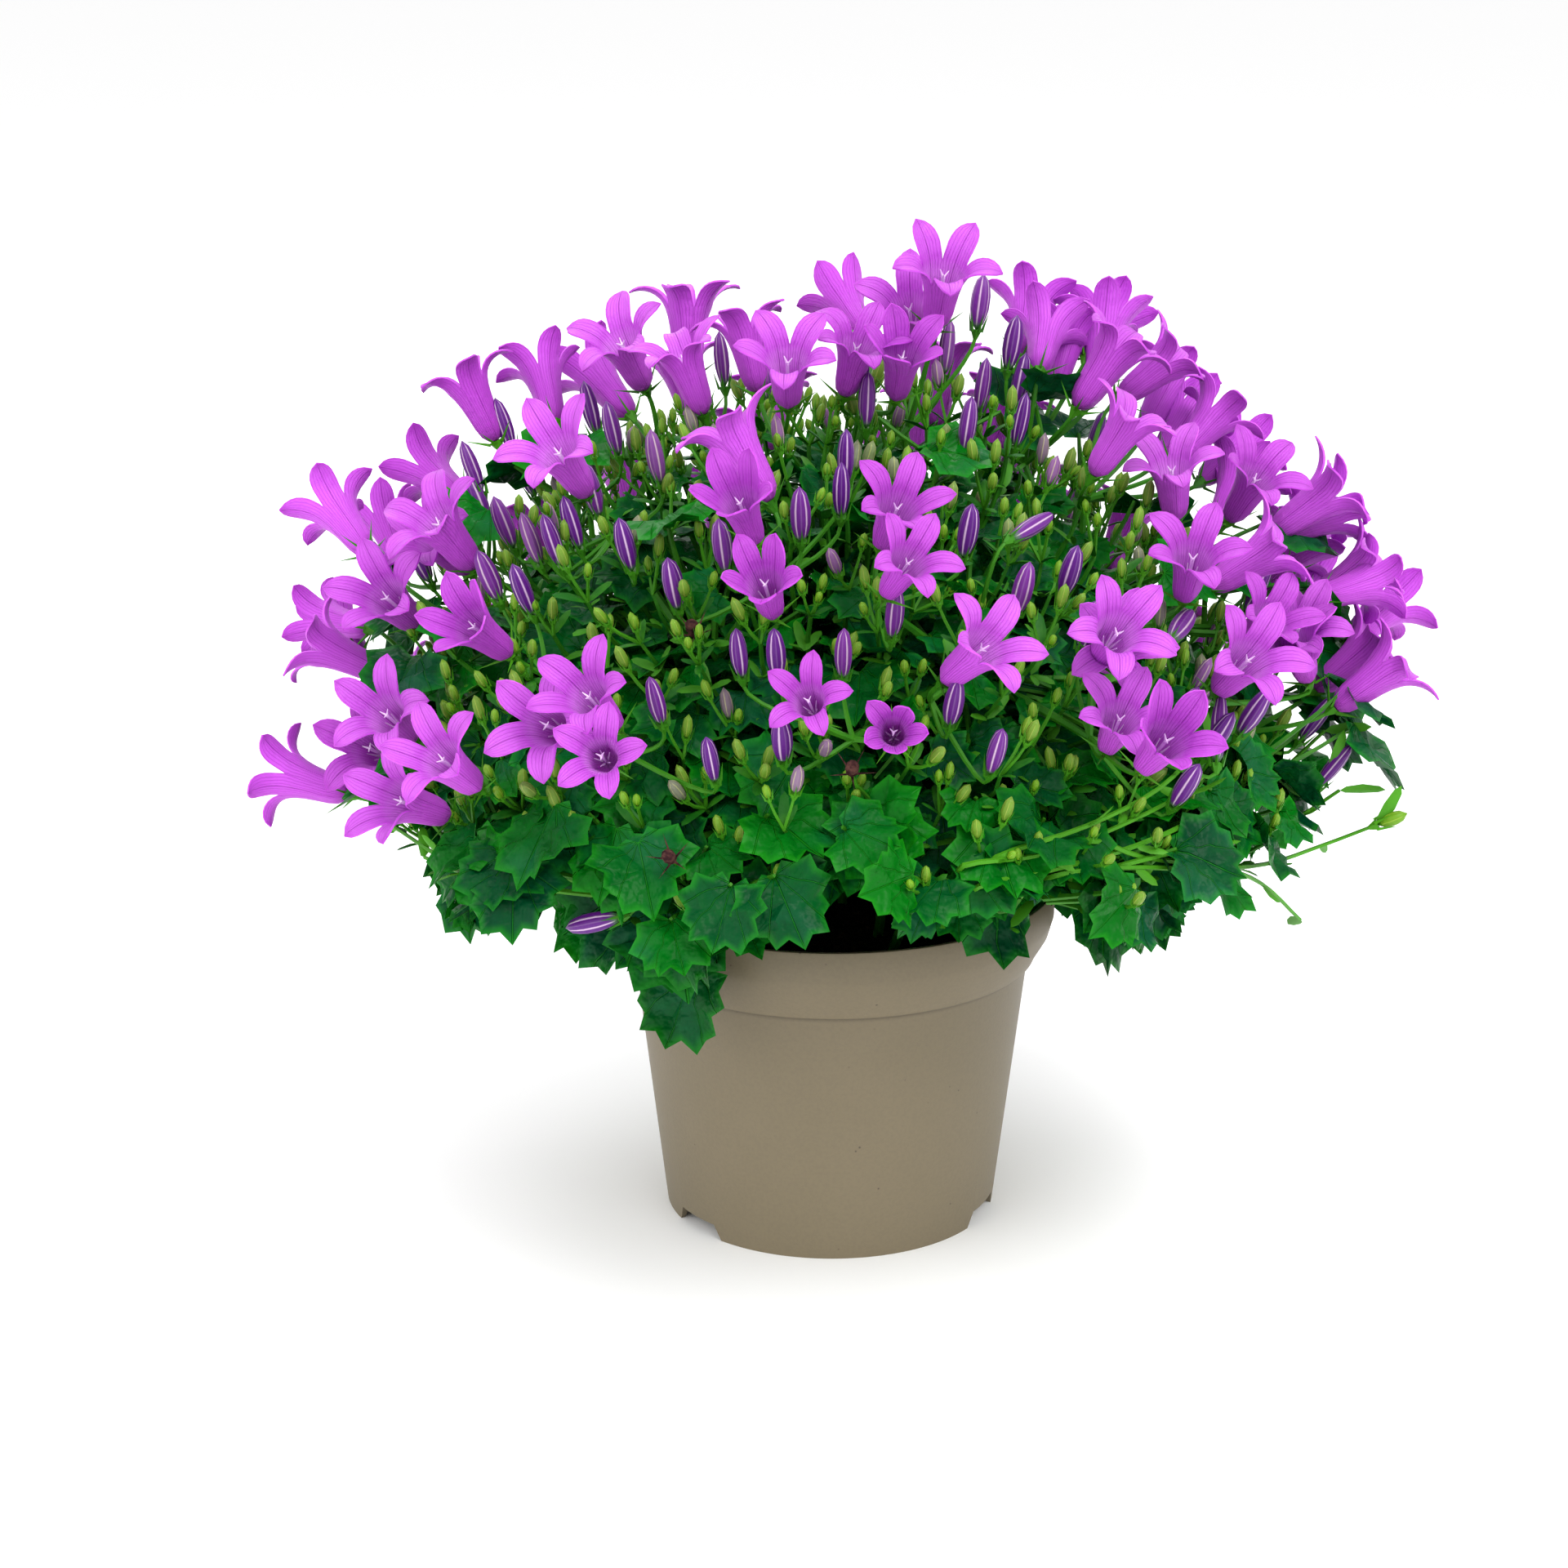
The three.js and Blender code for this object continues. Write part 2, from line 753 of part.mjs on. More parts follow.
function boxesMeet(a, b) {
  return [0, 1, 2].every((k) => a.min[k] < b.max[k] && b.min[k] < a.max[k]);
}

function meets(probe, isRival) {
  const box = probe.boundingBox();
  return placed.some((other) => isRival(other)
    && boxesMeet(box, other.box)
    && !probe.intersect(other.solid).isEmpty());
}

function nearestOf(list, point, placeOf) {
  return list.reduce((best, item) => (
    placeOf(item).distanceToSquared(point) < placeOf(best).distanceToSquared(point) ? item : best
  ));
}

const number = (index) => String(index + 1).padStart(2, '0');

// Leafy stems, each a stem out of the soil that carries a cushion of short shoots

function makeStem(head) {
  const start = along(head.foot, up, GAP);
  const bend = head.foot.clone().multiplyScalar(STEM.bendSpread).setZ(STEM.bendHeight);
  const curve = new THREE.QuadraticBezierCurve3(start, bend, head.middle);
  const rings = [start, along(start, up, STEM.straight)];
  for (let i = 2; i <= STEM.steps; i += 1) {
    rings.push(curve.getPoint(i / STEM.steps));
  }
  const frame = acrossAxis(up, 0);
  return loft(rings.map((at) => ({ at, radius: STEM.radius, sides: STEM.sides })), frame);
}

// The opening in the skirt, over the front of the rim, where the soil shows.
const openingAxis = bearing(radians(OPENING.turnDeg), 0);
const openingMiddle = new THREE.Vector3(0, 0, OPENING.height);
const openingBlock = loft([
  { at: along(openingMiddle, openingAxis, OPENING.near), radius: OPENING.halfWidth, sides: 4 },
  { at: along(openingMiddle, openingAxis, OPENING.far), radius: OPENING.halfWidth, sides: 4 },
], acrossAxis(openingAxis, 0));

// A cushion is a low pyramid, trimmed halfway to each of its neighbours and along its underside.
function makeCushion(head, neighbours) {
  const sides = CUSHION.sides;
  let cushion = loft([
    { at: along(head.middle, head.out, -CUSHION.depth), radius: 0, sides },
    { at: along(head.middle, head.out, CUSHION.waist), radius: CUSHION.radius, sides },
    { at: along(head.middle, head.out, CUSHION.height), radius: 0, sides },
  ], acrossAxis(head.out, Math.PI / sides));
  for (const other of neighbours) {
    const away = directionTo(other.middle, head.middle);
    const halfway = other.middle.clone().lerp(head.middle, 0.5);
    cushion = cushion.trimByPlane(away.toArray(), away.dot(halfway) + CUSHION.gap);
  }
  const outward = new THREE.Vector3(head.out.x, head.out.y, 0);
  const rim = outward.clone().setLength(POT.rimRadius).setZ(CUSHION.underHeight);
  const under = along(up, outward, -CUSHION.underSlope).normalize();
  return cushion.trimByPlane(under.toArray(), under.dot(rim)).subtract(openingBlock);
}

const heads = headPlaces();
heads.forEach((head, i) => {
  head.node = `leafy_stem_${number(i)}`;
  head.parts = [];
  const others = heads.filter((other) => other !== head);
  for (const solid of [makeStem(head), makeCushion(head, others)]) {
    head.parts.push(solid);
    keep(head.node, solid);
  }
});

// Flower sprays: a short stalk that forks to a few bells and buds

const sprays = [...frontSprays(), ...backSprays()].map((bells, i) => ({
  node: `flower_spray_${number(i)}`,
  bells,
  buds: [],
}));

for (const spray of sprays) {
  const middle = new THREE.Vector3();
  spray.bells.forEach((bell) => middle.addScaledVector(bell.base, 1 / spray.bells.length));
  const reach = Math.min(HUB.reach, middle.distanceTo(crown) - HUB.belowBells);
  const seat = along(crown, directionTo(crown, middle), reach);
  spray.head = nearestOf(heads, seat, (head) => head.middle);
  spray.axis = directionTo(spray.head.middle, seat);
  const distance = Math.max(seat.distanceTo(spray.head.middle), HUB.leastReach);
  spray.hub = along(spray.head.middle, spray.axis, distance);
  spray.footReach = Math.max(distance - HUB.drop, HUB.leastFoot);
}

const pot = makePot();
const soil = makeSoil(heads.map((head) => head.foot));
keep('pot', pot);
keep('soil', soil);

// The lower end of a spray's stalk is green and belongs to the leafy stem.
sprays.forEach((spray, i) => {
  const bells = spray.bells.map((bell, k) => makeBell({
    ...bell,
    root: spray.hub,
    turn: spread(31 * i + k, 0, 1.2),
    flare: spread(31 * i + k + 9, 0.75, 1),
  }));
  const frame = acrossAxis(spray.axis, 0);
  const fromHead = (distance) => along(spray.head.middle, spray.axis, distance);
  const stalk = loft([
    { at: fromHead(spray.footReach), radius: HUB.radius * 0.7, sides: 3 },
    { at: spray.hub, radius: HUB.radius, sides: 3 },
    { at: along(spray.hub, spray.axis, HUB.radius * 1.2), radius: 0, sides: 3 },
  ], frame);
  const stub = loft([
    { at: fromHead(HUB.stubFrom), radius: HUB.radius, sides: 3 },
    { at: fromHead(spray.footReach - GAP), radius: HUB.radius * 0.8, sides: 3 },
  ], frame);
  spray.parts = [...bells, stalk];
  spray.parts.forEach((solid) => keep(spray.node, solid));
  spray.head.parts.push(stub);
  keep(spray.head.node, stub);
});

// Buds that stand among the bells, each rooted in the nearest spray

// Buds lean up from the way out of the crown.
function leanOf(out) {
  return along(out, up, BUD_LEAN).normalize();
}

function budPlace(x, y) {
  const middle = onDome(x, y, CROWN.bloomReach);
  const lean = leanOf(directionTo(crown, middle));
  return {
    base: along(middle, lean, -BUD.length / 2),
    tip: along(middle, lean, BUD.length / 2),
  };
}

function backBudPlace(i) {
  const seed = 700 + 5 * i;
  const turn = radians(mix(15, 165, (i + 0.5) / BACK_BUD_COUNT) + spread(seed + 1, -6, 6));
  const out = bearing(turn, radians(spread(seed, 2, 75)));
  const base = along(crown, out, CROWN.bloomReach - 4);
  return { base, tip: along(base, leanOf(out), BUD.length) };
}

const budPlaces = FRONT_BUDS.map(([x, y]) => budPlace(x, y));
for (let i = 0; i < BACK_BUD_COUNT; i += 1) {
  budPlaces.push(backBudPlace(i));
}

budPlaces.forEach((bud, i) => {
  const spray = nearestOf(sprays, bud.base, (item) => item.hub);
  const shape = { ...bud, root: spray.hub, size: spread(900 + i, 0.8, 1.05) };
  const probe = makeBud({ ...shape, grow: GAP });
  const bare = makeBud({ ...shape, root: along(bud.base, up, -2) });
  if (meets(probe, (other) => other.node !== spray.node)
    || meets(bare, (other) => other.node === spray.node)) {
    return;
  }
  const solid = makeBud(shape);
  spray.parts.push(solid);
  keep(spray.node, solid);
});

// Leaves over the cushions, and a skirt of them that hangs round the rim of the pot

// Sine of the lowest angle that leaves are set at, for a way round the crown.
function lowestLeaf(turn) {
  const inFront = Math.max(0, Math.cos(turn - radians(SKIRT.frontDeg)));
  return Math.sin(radians(mix(SKIRT.lowestDeg, SKIRT.frontLowestDeg, inFront ** 3)));
}

function leafReach(elevation) {
  const low = radians(SKIRT.lowestDeg);
  const full = radians(14);
  const share = THREE.MathUtils.smoothstep(elevation, low, full);
  return mix(CROWN.leafReachLow, CROWN.leafReach, share);
}

function addLeaf({ out, head, place, turn, lift, length, bend, seed }) {
  const elevation = Math.asin(out.z);
  const around = Math.atan2(out.y, out.x);
  const down = bearing(around, elevation - Math.PI / 2);
  const side = bearing(around + Math.PI / 2, 0);
  for (const [twist, shift] of LEAF_TRIES) {
    const ahead = down.clone().multiplyScalar(Math.cos(turn + twist));
    ahead.addScaledVector(side, Math.sin(turn + twist)).addScaledVector(out, lift).normalize();
    const seat = along(place, out, shift);
    const root = head.middle.clone().lerp(seat, 1 - LEAF.sinkShare);
    root.x += spread(seed, -2, 2);
    root.y += spread(seed + 1, -2, 2);
    if (directionTo(root, seat).dot(ahead) < LEAF.leastLead) {
      continue;
    }
    const shape = { place: seat, ahead, face: along(out, up, 0.4), length, bend };
    const leaf = makeLeaf({ ...shape, root });
    const blade = makeLeaf({ ...shape, root: along(seat, ahead, -3) });
    const probe = makeLeaf({ ...shape, root, grow: LEAF.clearance });
    const blocked = !probe.intersect(openingBlock).isEmpty()
      || meets(probe, (other) => other.node !== head.node && !other.isBlade)
      || meets(blade, (other) => other.node === head.node && other.isBlade);
    if (!blocked) {
      head.parts.push(leaf);
      keep(head.node, leaf);
      keep(head.node, blade, true);
      return;
    }
  }
}

RIM_LEAVES.forEach(([turnDeg, distance, height], i) => {
  const seed = 1300 + 10 * i;
  const out = bearing(radians(turnDeg), 0);
  const place = along(new THREE.Vector3(0, 0, height), out, POT.rimRadius + distance);
  addLeaf({
    out,
    place,
    head: nearestOf(heads, place, (item) => item.middle),
    turn: spread(seed + 5, -0.5, 0.5),
    lift: spread(seed + 3, 0.25, 0.5),
    length: LEAF.length * spread(seed + 4, 0.85, 1.1),
    bend: 0.12,
    seed,
  });
});

for (let i = 0; i < LEAF_COUNT; i += 1) {
  const seed = 2400 + 10 * i;
  const around = i * GOLDEN_ANGLE;
  const height = mix(lowestLeaf(around), 1, (i + 0.5) / LEAF_COUNT);
  const above = Math.max(0, height);
  const elevation = Math.asin(height);
  const out = bearing(around, elevation);
  const place = along(crown, out, leafReach(elevation) + spread(seed, -7, 1));
  addLeaf({
    out,
    place,
    head: nearestOf(heads, place, (item) => item.middle),
    turn: spread(seed + 2, -0.9, 0.9),
    lift: spread(seed + 3, 0.1, 0.6) + 0.6 * above,
    length: LEAF.length * spread(seed + 1, 0.8, 1.15) * mix(1, 0.75, above),
    bend: spread(seed + 4, 0.05, 0.3),
    seed,
  });
}

// Young green buds that stand over the leaves on thin stalks

for (let i = 0; i < GREEN_BUD_COUNT; i += 1) {
  const seed = 5000 + 10 * i;
  const height = mix(Math.sin(radians(4)), 1, (i + 0.5) / GREEN_BUD_COUNT);
  for (const shift of GREEN_BUD_TRIES) {
    const out = bearing(i * GOLDEN_ANGLE + 1.1 + shift, Math.asin(height));
    const base = along(crown, out, CROWN.leafReach + spread(seed, 1, 12));
    const head = nearestOf(heads, base, (item) => item.middle);
    const shape = {
      root: along(head.middle, out, 4),
      base,
      tip: along(base, leanOf(out), GREEN_BUD.length),
      size: spread(seed + 1, 0.8, 1.2),
    };
    const probe = makeGreenBud({ ...shape, grow: GAP });
    if (!meets(probe, (other) => other.node !== head.node && !other.isBlade)) {
      const solid = makeGreenBud(shape);
      head.parts.push(solid);
      keep(head.node, solid);
      break;
    }
  }
}

const potted = new THREE.Group();
potted.name = 'potted_bellflower';

const plastic = new THREE.MeshStandardMaterial({ color: '#8f8372', roughness: 0.55, metalness: 0 });
const peat = new THREE.MeshStandardMaterial({ color: '#17120e', roughness: 0.95, metalness: 0 });
const foliage = new THREE.MeshStandardMaterial({ color: '#0d7a1c', roughness: 0.5, metalness: 0 });
const petal = new THREE.MeshStandardMaterial({ color: '#c24be6', roughness: 0.6, metalness: 0 });

function addPiece(name, solid, material) {
  const mesh = new THREE.Mesh(geometryOf(solid), material);
  mesh.name = name;
  potted.add(mesh);
}

addPiece('pot', pot, plastic);
addPiece('soil', soil, peat);
for (const head of heads) {
  addPiece(head.node, wasm.Manifold.union(head.parts), foliage);
}
for (const spray of sprays) {
  addPiece(spray.node, wasm.Manifold.union(spray.parts), petal);
}

export default potted;
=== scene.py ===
import math
from functools import partial

import bpy
import numpy as np
from bpy.props import FloatProperty, FloatVectorProperty, IntProperty, PointerProperty
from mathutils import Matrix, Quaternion, Vector


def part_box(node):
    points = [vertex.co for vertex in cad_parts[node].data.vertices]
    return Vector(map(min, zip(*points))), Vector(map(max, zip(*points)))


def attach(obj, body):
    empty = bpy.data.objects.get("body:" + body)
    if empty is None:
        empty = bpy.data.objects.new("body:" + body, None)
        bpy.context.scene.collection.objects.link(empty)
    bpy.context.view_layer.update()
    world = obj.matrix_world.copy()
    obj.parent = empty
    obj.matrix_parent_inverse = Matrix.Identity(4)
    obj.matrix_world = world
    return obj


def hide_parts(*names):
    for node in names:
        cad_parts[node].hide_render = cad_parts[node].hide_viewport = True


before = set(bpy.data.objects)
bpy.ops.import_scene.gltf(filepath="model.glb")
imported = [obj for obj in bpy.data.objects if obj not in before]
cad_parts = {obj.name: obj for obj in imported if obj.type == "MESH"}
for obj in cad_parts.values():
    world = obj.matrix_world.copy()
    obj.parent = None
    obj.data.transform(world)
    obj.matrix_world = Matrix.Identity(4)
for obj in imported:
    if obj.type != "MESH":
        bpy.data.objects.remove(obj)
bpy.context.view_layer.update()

bl_info = {
    "name": "Potted bellflower",
    "version": (1, 0, 0),
    "blender": (4, 5, 0),
    "location": "3D View > Sidebar > Bellflower",
    "description": "A bellflower in full bloom in a plain nursery pot, dressed around its CAD model",
    "category": "Object",
}

# Shapes are worked out in millimetres and kept in metres.
MM = 0.001
UP = Vector((0, 0, 1))
GOLDEN_ANGLE = math.pi * (3 - math.sqrt(5))

# The pot, with its size from its CAD node
POT_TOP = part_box("pot")[1] / MM
POT_HEIGHT = POT_TOP.z
RIM_RADIUS = POT_TOP.x
SHOULDER_RADIUS = 54.2
BAND_HEIGHT = 20
BAND_STRAIGHT = 8
SHOULDER_HEIGHT = POT_HEIGHT - BAND_HEIGHT
STRAIGHT_HEIGHT = POT_HEIGHT - BAND_STRAIGHT
BASE_RADIUS = 44.8
WALL = 1.2
LIP = 0.5
CREASE = 1
FLOOR_HEIGHT = 5
FLOOR_START = 6
POT_SIDES = 144

# Edges sharper than these angles, in degrees, stay sharp
POT_CREASE = 28
PLANT_CREASE = 50

# Radius and height of the bends between the pot's shoulder and the straight part of its band
BAND_BENDS = [
    (SHOULDER_RADIUS + share * (RIM_RADIUS - SHOULDER_RADIUS), SHOULDER_HEIGHT + rise)
    for share, rise in ((0.28, 2.4), (0.78, 7.4))
]

# Foot notches and drain holes, by their angles round the pot
NOTCH_TURNS = (-143, -23, 97)
NOTCH_WIDTH = 19.5
NOTCH_HEIGHT = 4.2
NOTCH_SLOPE = 2.6
NOTCH_DEPTH = 14
DRAIN_TURNS = (0, 120, 240)
DRAIN_CIRCLE = 28
DRAIN_RADIUS = 3.4
DRAIN_SIDES = 24

# The soil, which is higher in its middle than at its edge
SOIL_EDGE = 80
SOIL_MIDDLE = 83
SOIL_RADIUS = 57.2
SOIL_FOOT = FLOOR_HEIGHT + WALL + 0.4
SOIL_GROUND = {"segments": 72, "ring_count": 40}

# The crown of the plant is a dome round this point. Reaches are distances from it in mm.
CROWN = Vector((0, 0, 100))
HEAD_REACH = 88
LEAF_REACH = 122
LEAF_REACH_LOW = 96
BLOOM_REACH = 127
TRAILING_REACH = 118
LYING_REACH = 112

# Hubs of sprays: the furthest reach, how far below its bells, how far from the stem's hub at least
HUB_REACH = 114
HUB_DEPTH = 9
HUB_NEAREST = 31

# Stems: how deep in the soil they start, and the height of their bend
STEM_DEPTH = 12
STEM_BEND_HEIGHT = 104

# Room that a bell takes: distances along it from its base, and its radius there
BELL_ROOM = ((-2, 0, 4, 18, 26, 27), (-99, 1, 4, 7, 14, -99))

# The camera, in mm: pixels are those of a square picture 1920 wide
EYE = Vector((-12.7, -833.7, 370.7))
PITCH = math.radians(16.9)
FOCAL = 4000
PICTURE = 1920
SENSOR = 36

# Flower sprays that show from the front. Each bell gives the pixel of its base and of the
# middle of its mouth. A fifth number sets it further back along the line of sight.
FRONT_SPRAYS = (
    ((608, 541, 568, 462), (679, 518, 662, 451)),
    ((790, 476, 758, 415, -6), (772, 510, 730, 460, 30)),
    ((720, 606, 682, 552),),
    ((565, 609, 526, 577, 8), (581, 695, 534, 638), (493, 701, 471, 638, 28)),
    ((450, 676, 412, 626), (510, 764, 471, 730)),
    ((469, 826, 383, 785, -6), (440, 800, 415, 765, 22)),
    ((624, 801, 575, 764),),
    ((428, 973, 356, 950),),
    ((506, 904, 469, 872, 12), (586, 965, 536, 926, -8)),
    ((549, 999, 486, 980, 10), (480, 930, 450, 915, 40)),
    ((843, 460, 843, 370, 4), (862, 508, 832, 428)),
    ((929, 481, 910, 395, 12), (965, 497, 964, 437, -4)),
    ((943, 615, 894, 530, 6), (925, 664, 903, 610, -4), (947, 753, 934, 708)),
    ((1060, 410, 1034, 370, 18), (1034, 484, 1052, 414, 2), (1097, 488, 1106, 432, 2)),
    ((1145, 401, 1156, 334, -20), (1120, 425, 1113, 375, -2)),
    ((1079, 670, 1102, 614, 4), (1084, 729, 1120, 678, -8)),
    ((1156, 834, 1209, 790),),
    ((1349, 813, 1367, 790, 14), (1355, 918, 1375, 872, 8), (1398, 941, 1430, 905, -14)),
    ((1094, 905, 1094, 893, 6), (1000, 880, 985, 848)),
    ((1449, 734, 1462, 678),),
    ((1490, 846, 1531, 806), (1602, 834, 1582, 775, -10)),
    ((1633, 867, 1709, 811, -6),),
    ((1612, 734, 1679, 714), (1570, 760, 1597, 724, 24), (1556, 658, 1628, 627, 10)),
    ((1505, 637, 1541, 581, -4), (1439, 637, 1434, 566, -4)),
    ((1272, 455, 1281, 404), (1318, 501, 1375, 416, -8), (1330, 440, 1354, 397, 26)),
    ((1370, 489, 1444, 432, 16), (1338, 583, 1387, 510, -2), (1420, 560, 1455, 505, 26)),
    ((700, 900, 666, 887, 6), (755, 891, 715, 847, -2), (745, 935, 733, 923, -8)),
)

# Purple buds that show from the front, by the pixel of their middle
FRONT_BUDS = (
    (617, 520), (723, 500), (884, 440), (803, 560), (766, 667), (824, 715),
    (617, 640), (650, 660), (640, 722), (725, 600), (870, 930), (803, 858),
    (980, 630), (950, 800), (957, 905), (1033, 800), (1036, 560), (1095, 750),
    (1185, 520), (1250, 515), (1160, 425), (1200, 370), (1240, 420),
    (1253, 720), (1335, 765), (1452, 870), (1168, 860), (1185, 650), (1220, 920),
    (1452, 962), (1493, 900), (1612, 880), (1633, 938),
)

# More bells and buds among them, too close to their neighbours to be solids of the CAD model
ADDED_BELLS = (
    (1345, 806, 1371, 772), (1556, 655, 1628, 604, 8), (1602, 740, 1676, 694, 14),
    (1572, 806, 1594, 762, -8), (1438, 566, 1489, 508, 12), (1610, 846, 1677, 792, 8),
    (1480, 720, 1560, 672, 4), (1250, 440, 1262, 376, 20), (575, 700, 527, 655, 20),
    (452, 770, 396, 758, 16), (1345, 470, 1352, 400, 20), (1488, 646, 1516, 590, 14),
    (1530, 726, 1582, 676, 20), (1400, 530, 1432, 468, 30), (1516, 800, 1560, 752, 10),
    (1576, 700, 1606, 642, 26), (1650, 790, 1694, 744, 20), (1290, 480, 1306, 412, 16),
    (1470, 590, 1520, 548, 30),
)
ADDED_BUDS = (
    (585, 612), (578, 572), (512, 684), (466, 690), (598, 705), (676, 662), (1140, 395),
    (1105, 380), (1062, 490), (1045, 452), (1203, 472), (1250, 466), (1540, 720), (1095, 640),
    (905, 800), (884, 668), (1030, 600), (700, 640), (750, 525), (1310, 700), (1535, 872),
)

# A bud that lies over the rim, and buds that are about to open, by the pixels of base and tip
LYING_BUD = ((762, 1122), (695, 1136))
OPENING_BUDS = (
    ((1236, 662), (1318, 612)), ((1432, 786), (1480, 720)), ((1490, 938), (1494, 872)),
)

# Lengths of these buds beside that of an upright one
LYING_GROWN = 1.15
OPENING_GROWN = 1.35

# Withered blooms, by pixel
WITHERED = ((850, 775), (1043, 945), (822, 1052))

# Bells that have yet to open wide, by number of the spray and place in it: one is a small cup
CUP_BELL = (19, 0)
CUP_SIZE = 0.74
HALF_OPEN_BELLS = ((7, 0), (13, 1), (13, 2), (14, 0), (14, 2), (18, 2), (4, 2))
SMALL_BELLS = {
    (19, 1): 0.72, (16, 1): 0.8, (27, 2): 0.8, (18, 1): 0.84, (14, 1): 0.85, (13, 1): 0.92,
    (20, 0): 0.92,
}

# Bells whose axis runs more across the line of sight than this have lobes that roll back
SIDE_ON = 0.5

# Sprays on the far side of the crown: turn round it and height above the level in degrees, and
# the count of bells
BACK_SPRAYS = (
    (34, 8, 3), (62, 14, 3), (91, 20, 3), (120, 13, 3), (149, 7, 3),
    (46, 34, 2), (76, 44, 2), (107, 39, 2), (135, 34, 2),
    (52, 60, 2), (118, 60, 2),
)
BACK_SPREAD = 0.13
BACK_BUD_COUNT = 12

# Rings of leafy stems: count, degrees above the level, first turn, distance of their feet
HEAD_RINGS = ((8, 7, 22.5, 36), (6, 45, 0, 22), (1, 90, 0, 3))

# Lowest leaves, as angles above the level of the crown's middle. The skirt is open in front.
SKIRT_LOWEST = -16
SKIRT_FRONT = -92
SKIRT_FRONT_LOWEST = 8

# Layers of leaves: share of the full count, how deep and how far out they sit, size
LEAF_LAYERS = ((1, -11, 2, 1), (1.1, -32, -12, 1.1), (0.9, -58, -34, 1.6))

# How much deeper leaves sit near the top, and the room between bells and leaves or young buds
LEAF_RECESS = 17
LEAF_MARGIN = 2
BUD_MARGIN = 1.2

# Leaves that hang over the rim of the pot: turn round it in degrees, distance out, height
RIM_LEAVES = (
    (-122, 7, 87), (-150, 14, 106), (-58, 16, 114), (-32, 20, 103), (-14, 26, 101), (28, 14, 98),
    (76, 12, 96), (124, 15, 98), (168, 20, 98),
)

# Leaves that stand out of the crown at its sides, by the pixel of their stalk's end
OUTER_LEAVES = (
    (1636, 862), (1650, 890), (1610, 892), (1580, 920), (1600, 850), (1530, 950), (1500, 1000),
    (1640, 835), (1560, 850), (1590, 790), (600, 1030), (630, 1060), (500, 930), (1440, 1040),
    (1470, 1065), (1548, 1035), (1630, 800), (1580, 720), (1560, 650), (480, 860), (500, 790),
    (548, 680), (532, 742), (520, 800), (566, 836), (604, 616), (660, 572), (1330, 552),
    (1384, 604), (1424, 704), (1486, 690), (1224, 502), (816, 630), (1262, 478), (722, 532),
    (588, 768), (1135, 556),
)

# Lower edge of the leaves as it is seen from the front, in pixels from left to right
SKIRT_EDGE = (
    (300, 990), (480, 1005), (556, 1040), (572, 1140), (640, 1140), (690, 1095), (780, 1120),
    (800, 1245), (850, 1210), (900, 1195), (965, 1165), (985, 1100), (1095, 1095), (1110, 1160),
    (1180, 1150), (1225, 1115), (1320, 1105), (1340, 1165), (1400, 1165), (1415, 1085),
    (1490, 1050), (1560, 1050), (1640, 960), (1700, 910), (1760, 850),
)

# Columns of the picture, and the row below which no young shoots stand, so that soil shows
SOIL_GAP = (965, 1110)
SOIL_GAP_TOP = 1000

# Stems that trail out of the crown low at its sides, by the pixels that they pass
TRAILING_STEMS = (
    ((1300, 1070), (1390, 1062), (1470, 1064), (1550, 1058), (1620, 1035), (1686, 1010)),
    ((1330, 1030), (1400, 1050), (1490, 1062), (1545, 1082), (1592, 1126)),
    ((1440, 1040), (1520, 1030), (1590, 1000), (1640, 968)),
    ((1200, 1085), (1300, 1062), (1390, 1036), (1470, 1000), (1560, 950), (1622, 895)),
    ((1220, 1050), (1330, 1012), (1420, 965), (1478, 905)),
    ((1380, 1058), (1480, 1030), (1570, 985), (1628, 945)),
    ((1180, 1060), (1280, 1046), (1370, 1012), (1446, 975)),
    ((640, 1085), (590, 1072), (540, 1050), (482, 1012)),
    ((620, 1060), (570, 1068), (520, 1050)),
)
TRAILING_WITH_BUD = (0, 7)

# Bells and their parts
LOBES = 5
PANEL_COLUMNS = 6
TUBE_ROWS = 7
LOBE_ROWS = 8
PETAL_THICKNESS = 0.5
TUBE_LENGTH = 18
LOBE_LENGTH = 11.8
MOUTH_RADIUS = 6.1
MOUTH_SLOPE = math.radians(16)
TUBE_SHARE = TUBE_ROWS / (TUBE_ROWS + LOBE_ROWS)
TUBE_HEIGHTS = (0, 0.05, 0.16, 0.32, 0.52, 0.72, 0.88, 1)
TUBE_RADII = (0, 1.9, 3.3, 3.95, 4.3, 4.75, 5.35, MOUTH_RADIUS)
LOBE_STEPS = (0, 0.2, 0.4, 0.6, 0.75, 0.87, 0.95, 1)
LOBE_HALF_WIDTHS = (3.55, 3.55, 3.8, 3.65, 3.0, 2.05, 1.1, 0)
PANEL_GAP = 0.02

# Curl of the lobes in degrees, shut and open, and how narrow a shut bell is beside an open one
CURL_SHUT = 28
CURL_OPEN = 92
TUBE_NARROWEST = 0.88

# Forms of a bell: how far it is open, and a seed for each pattern
BELL_FORMS = {
    "wide": (0.95, (60, 80, 100)), "rolled": (1.28, (120, 140, 160)), "half_open": (0.3, (320,)),
    "cup": (0, (300,)),
}

# Radius of a closed bud along it, and the colours of its panels and ribs from old to young
BUD_STEPS = (0, 0.06, 0.16, 0.4, 0.65, 0.84, 0.94, 1)
BUD_RADII = (0, 0.42, 0.72, 1, 0.97, 0.74, 0.46, 0)
AGES = (0.0, 0.3, 0.5, 0.6, 1.0)
PANEL_COLOURS = ("#520A74", "#6E2688", "#84588C", "#66882A", "#669A14")
RIB_COLOURS = ("#D0B0D4", "#CDB0CB", "#B8A49C", "#8FA644", "#86AE2C")

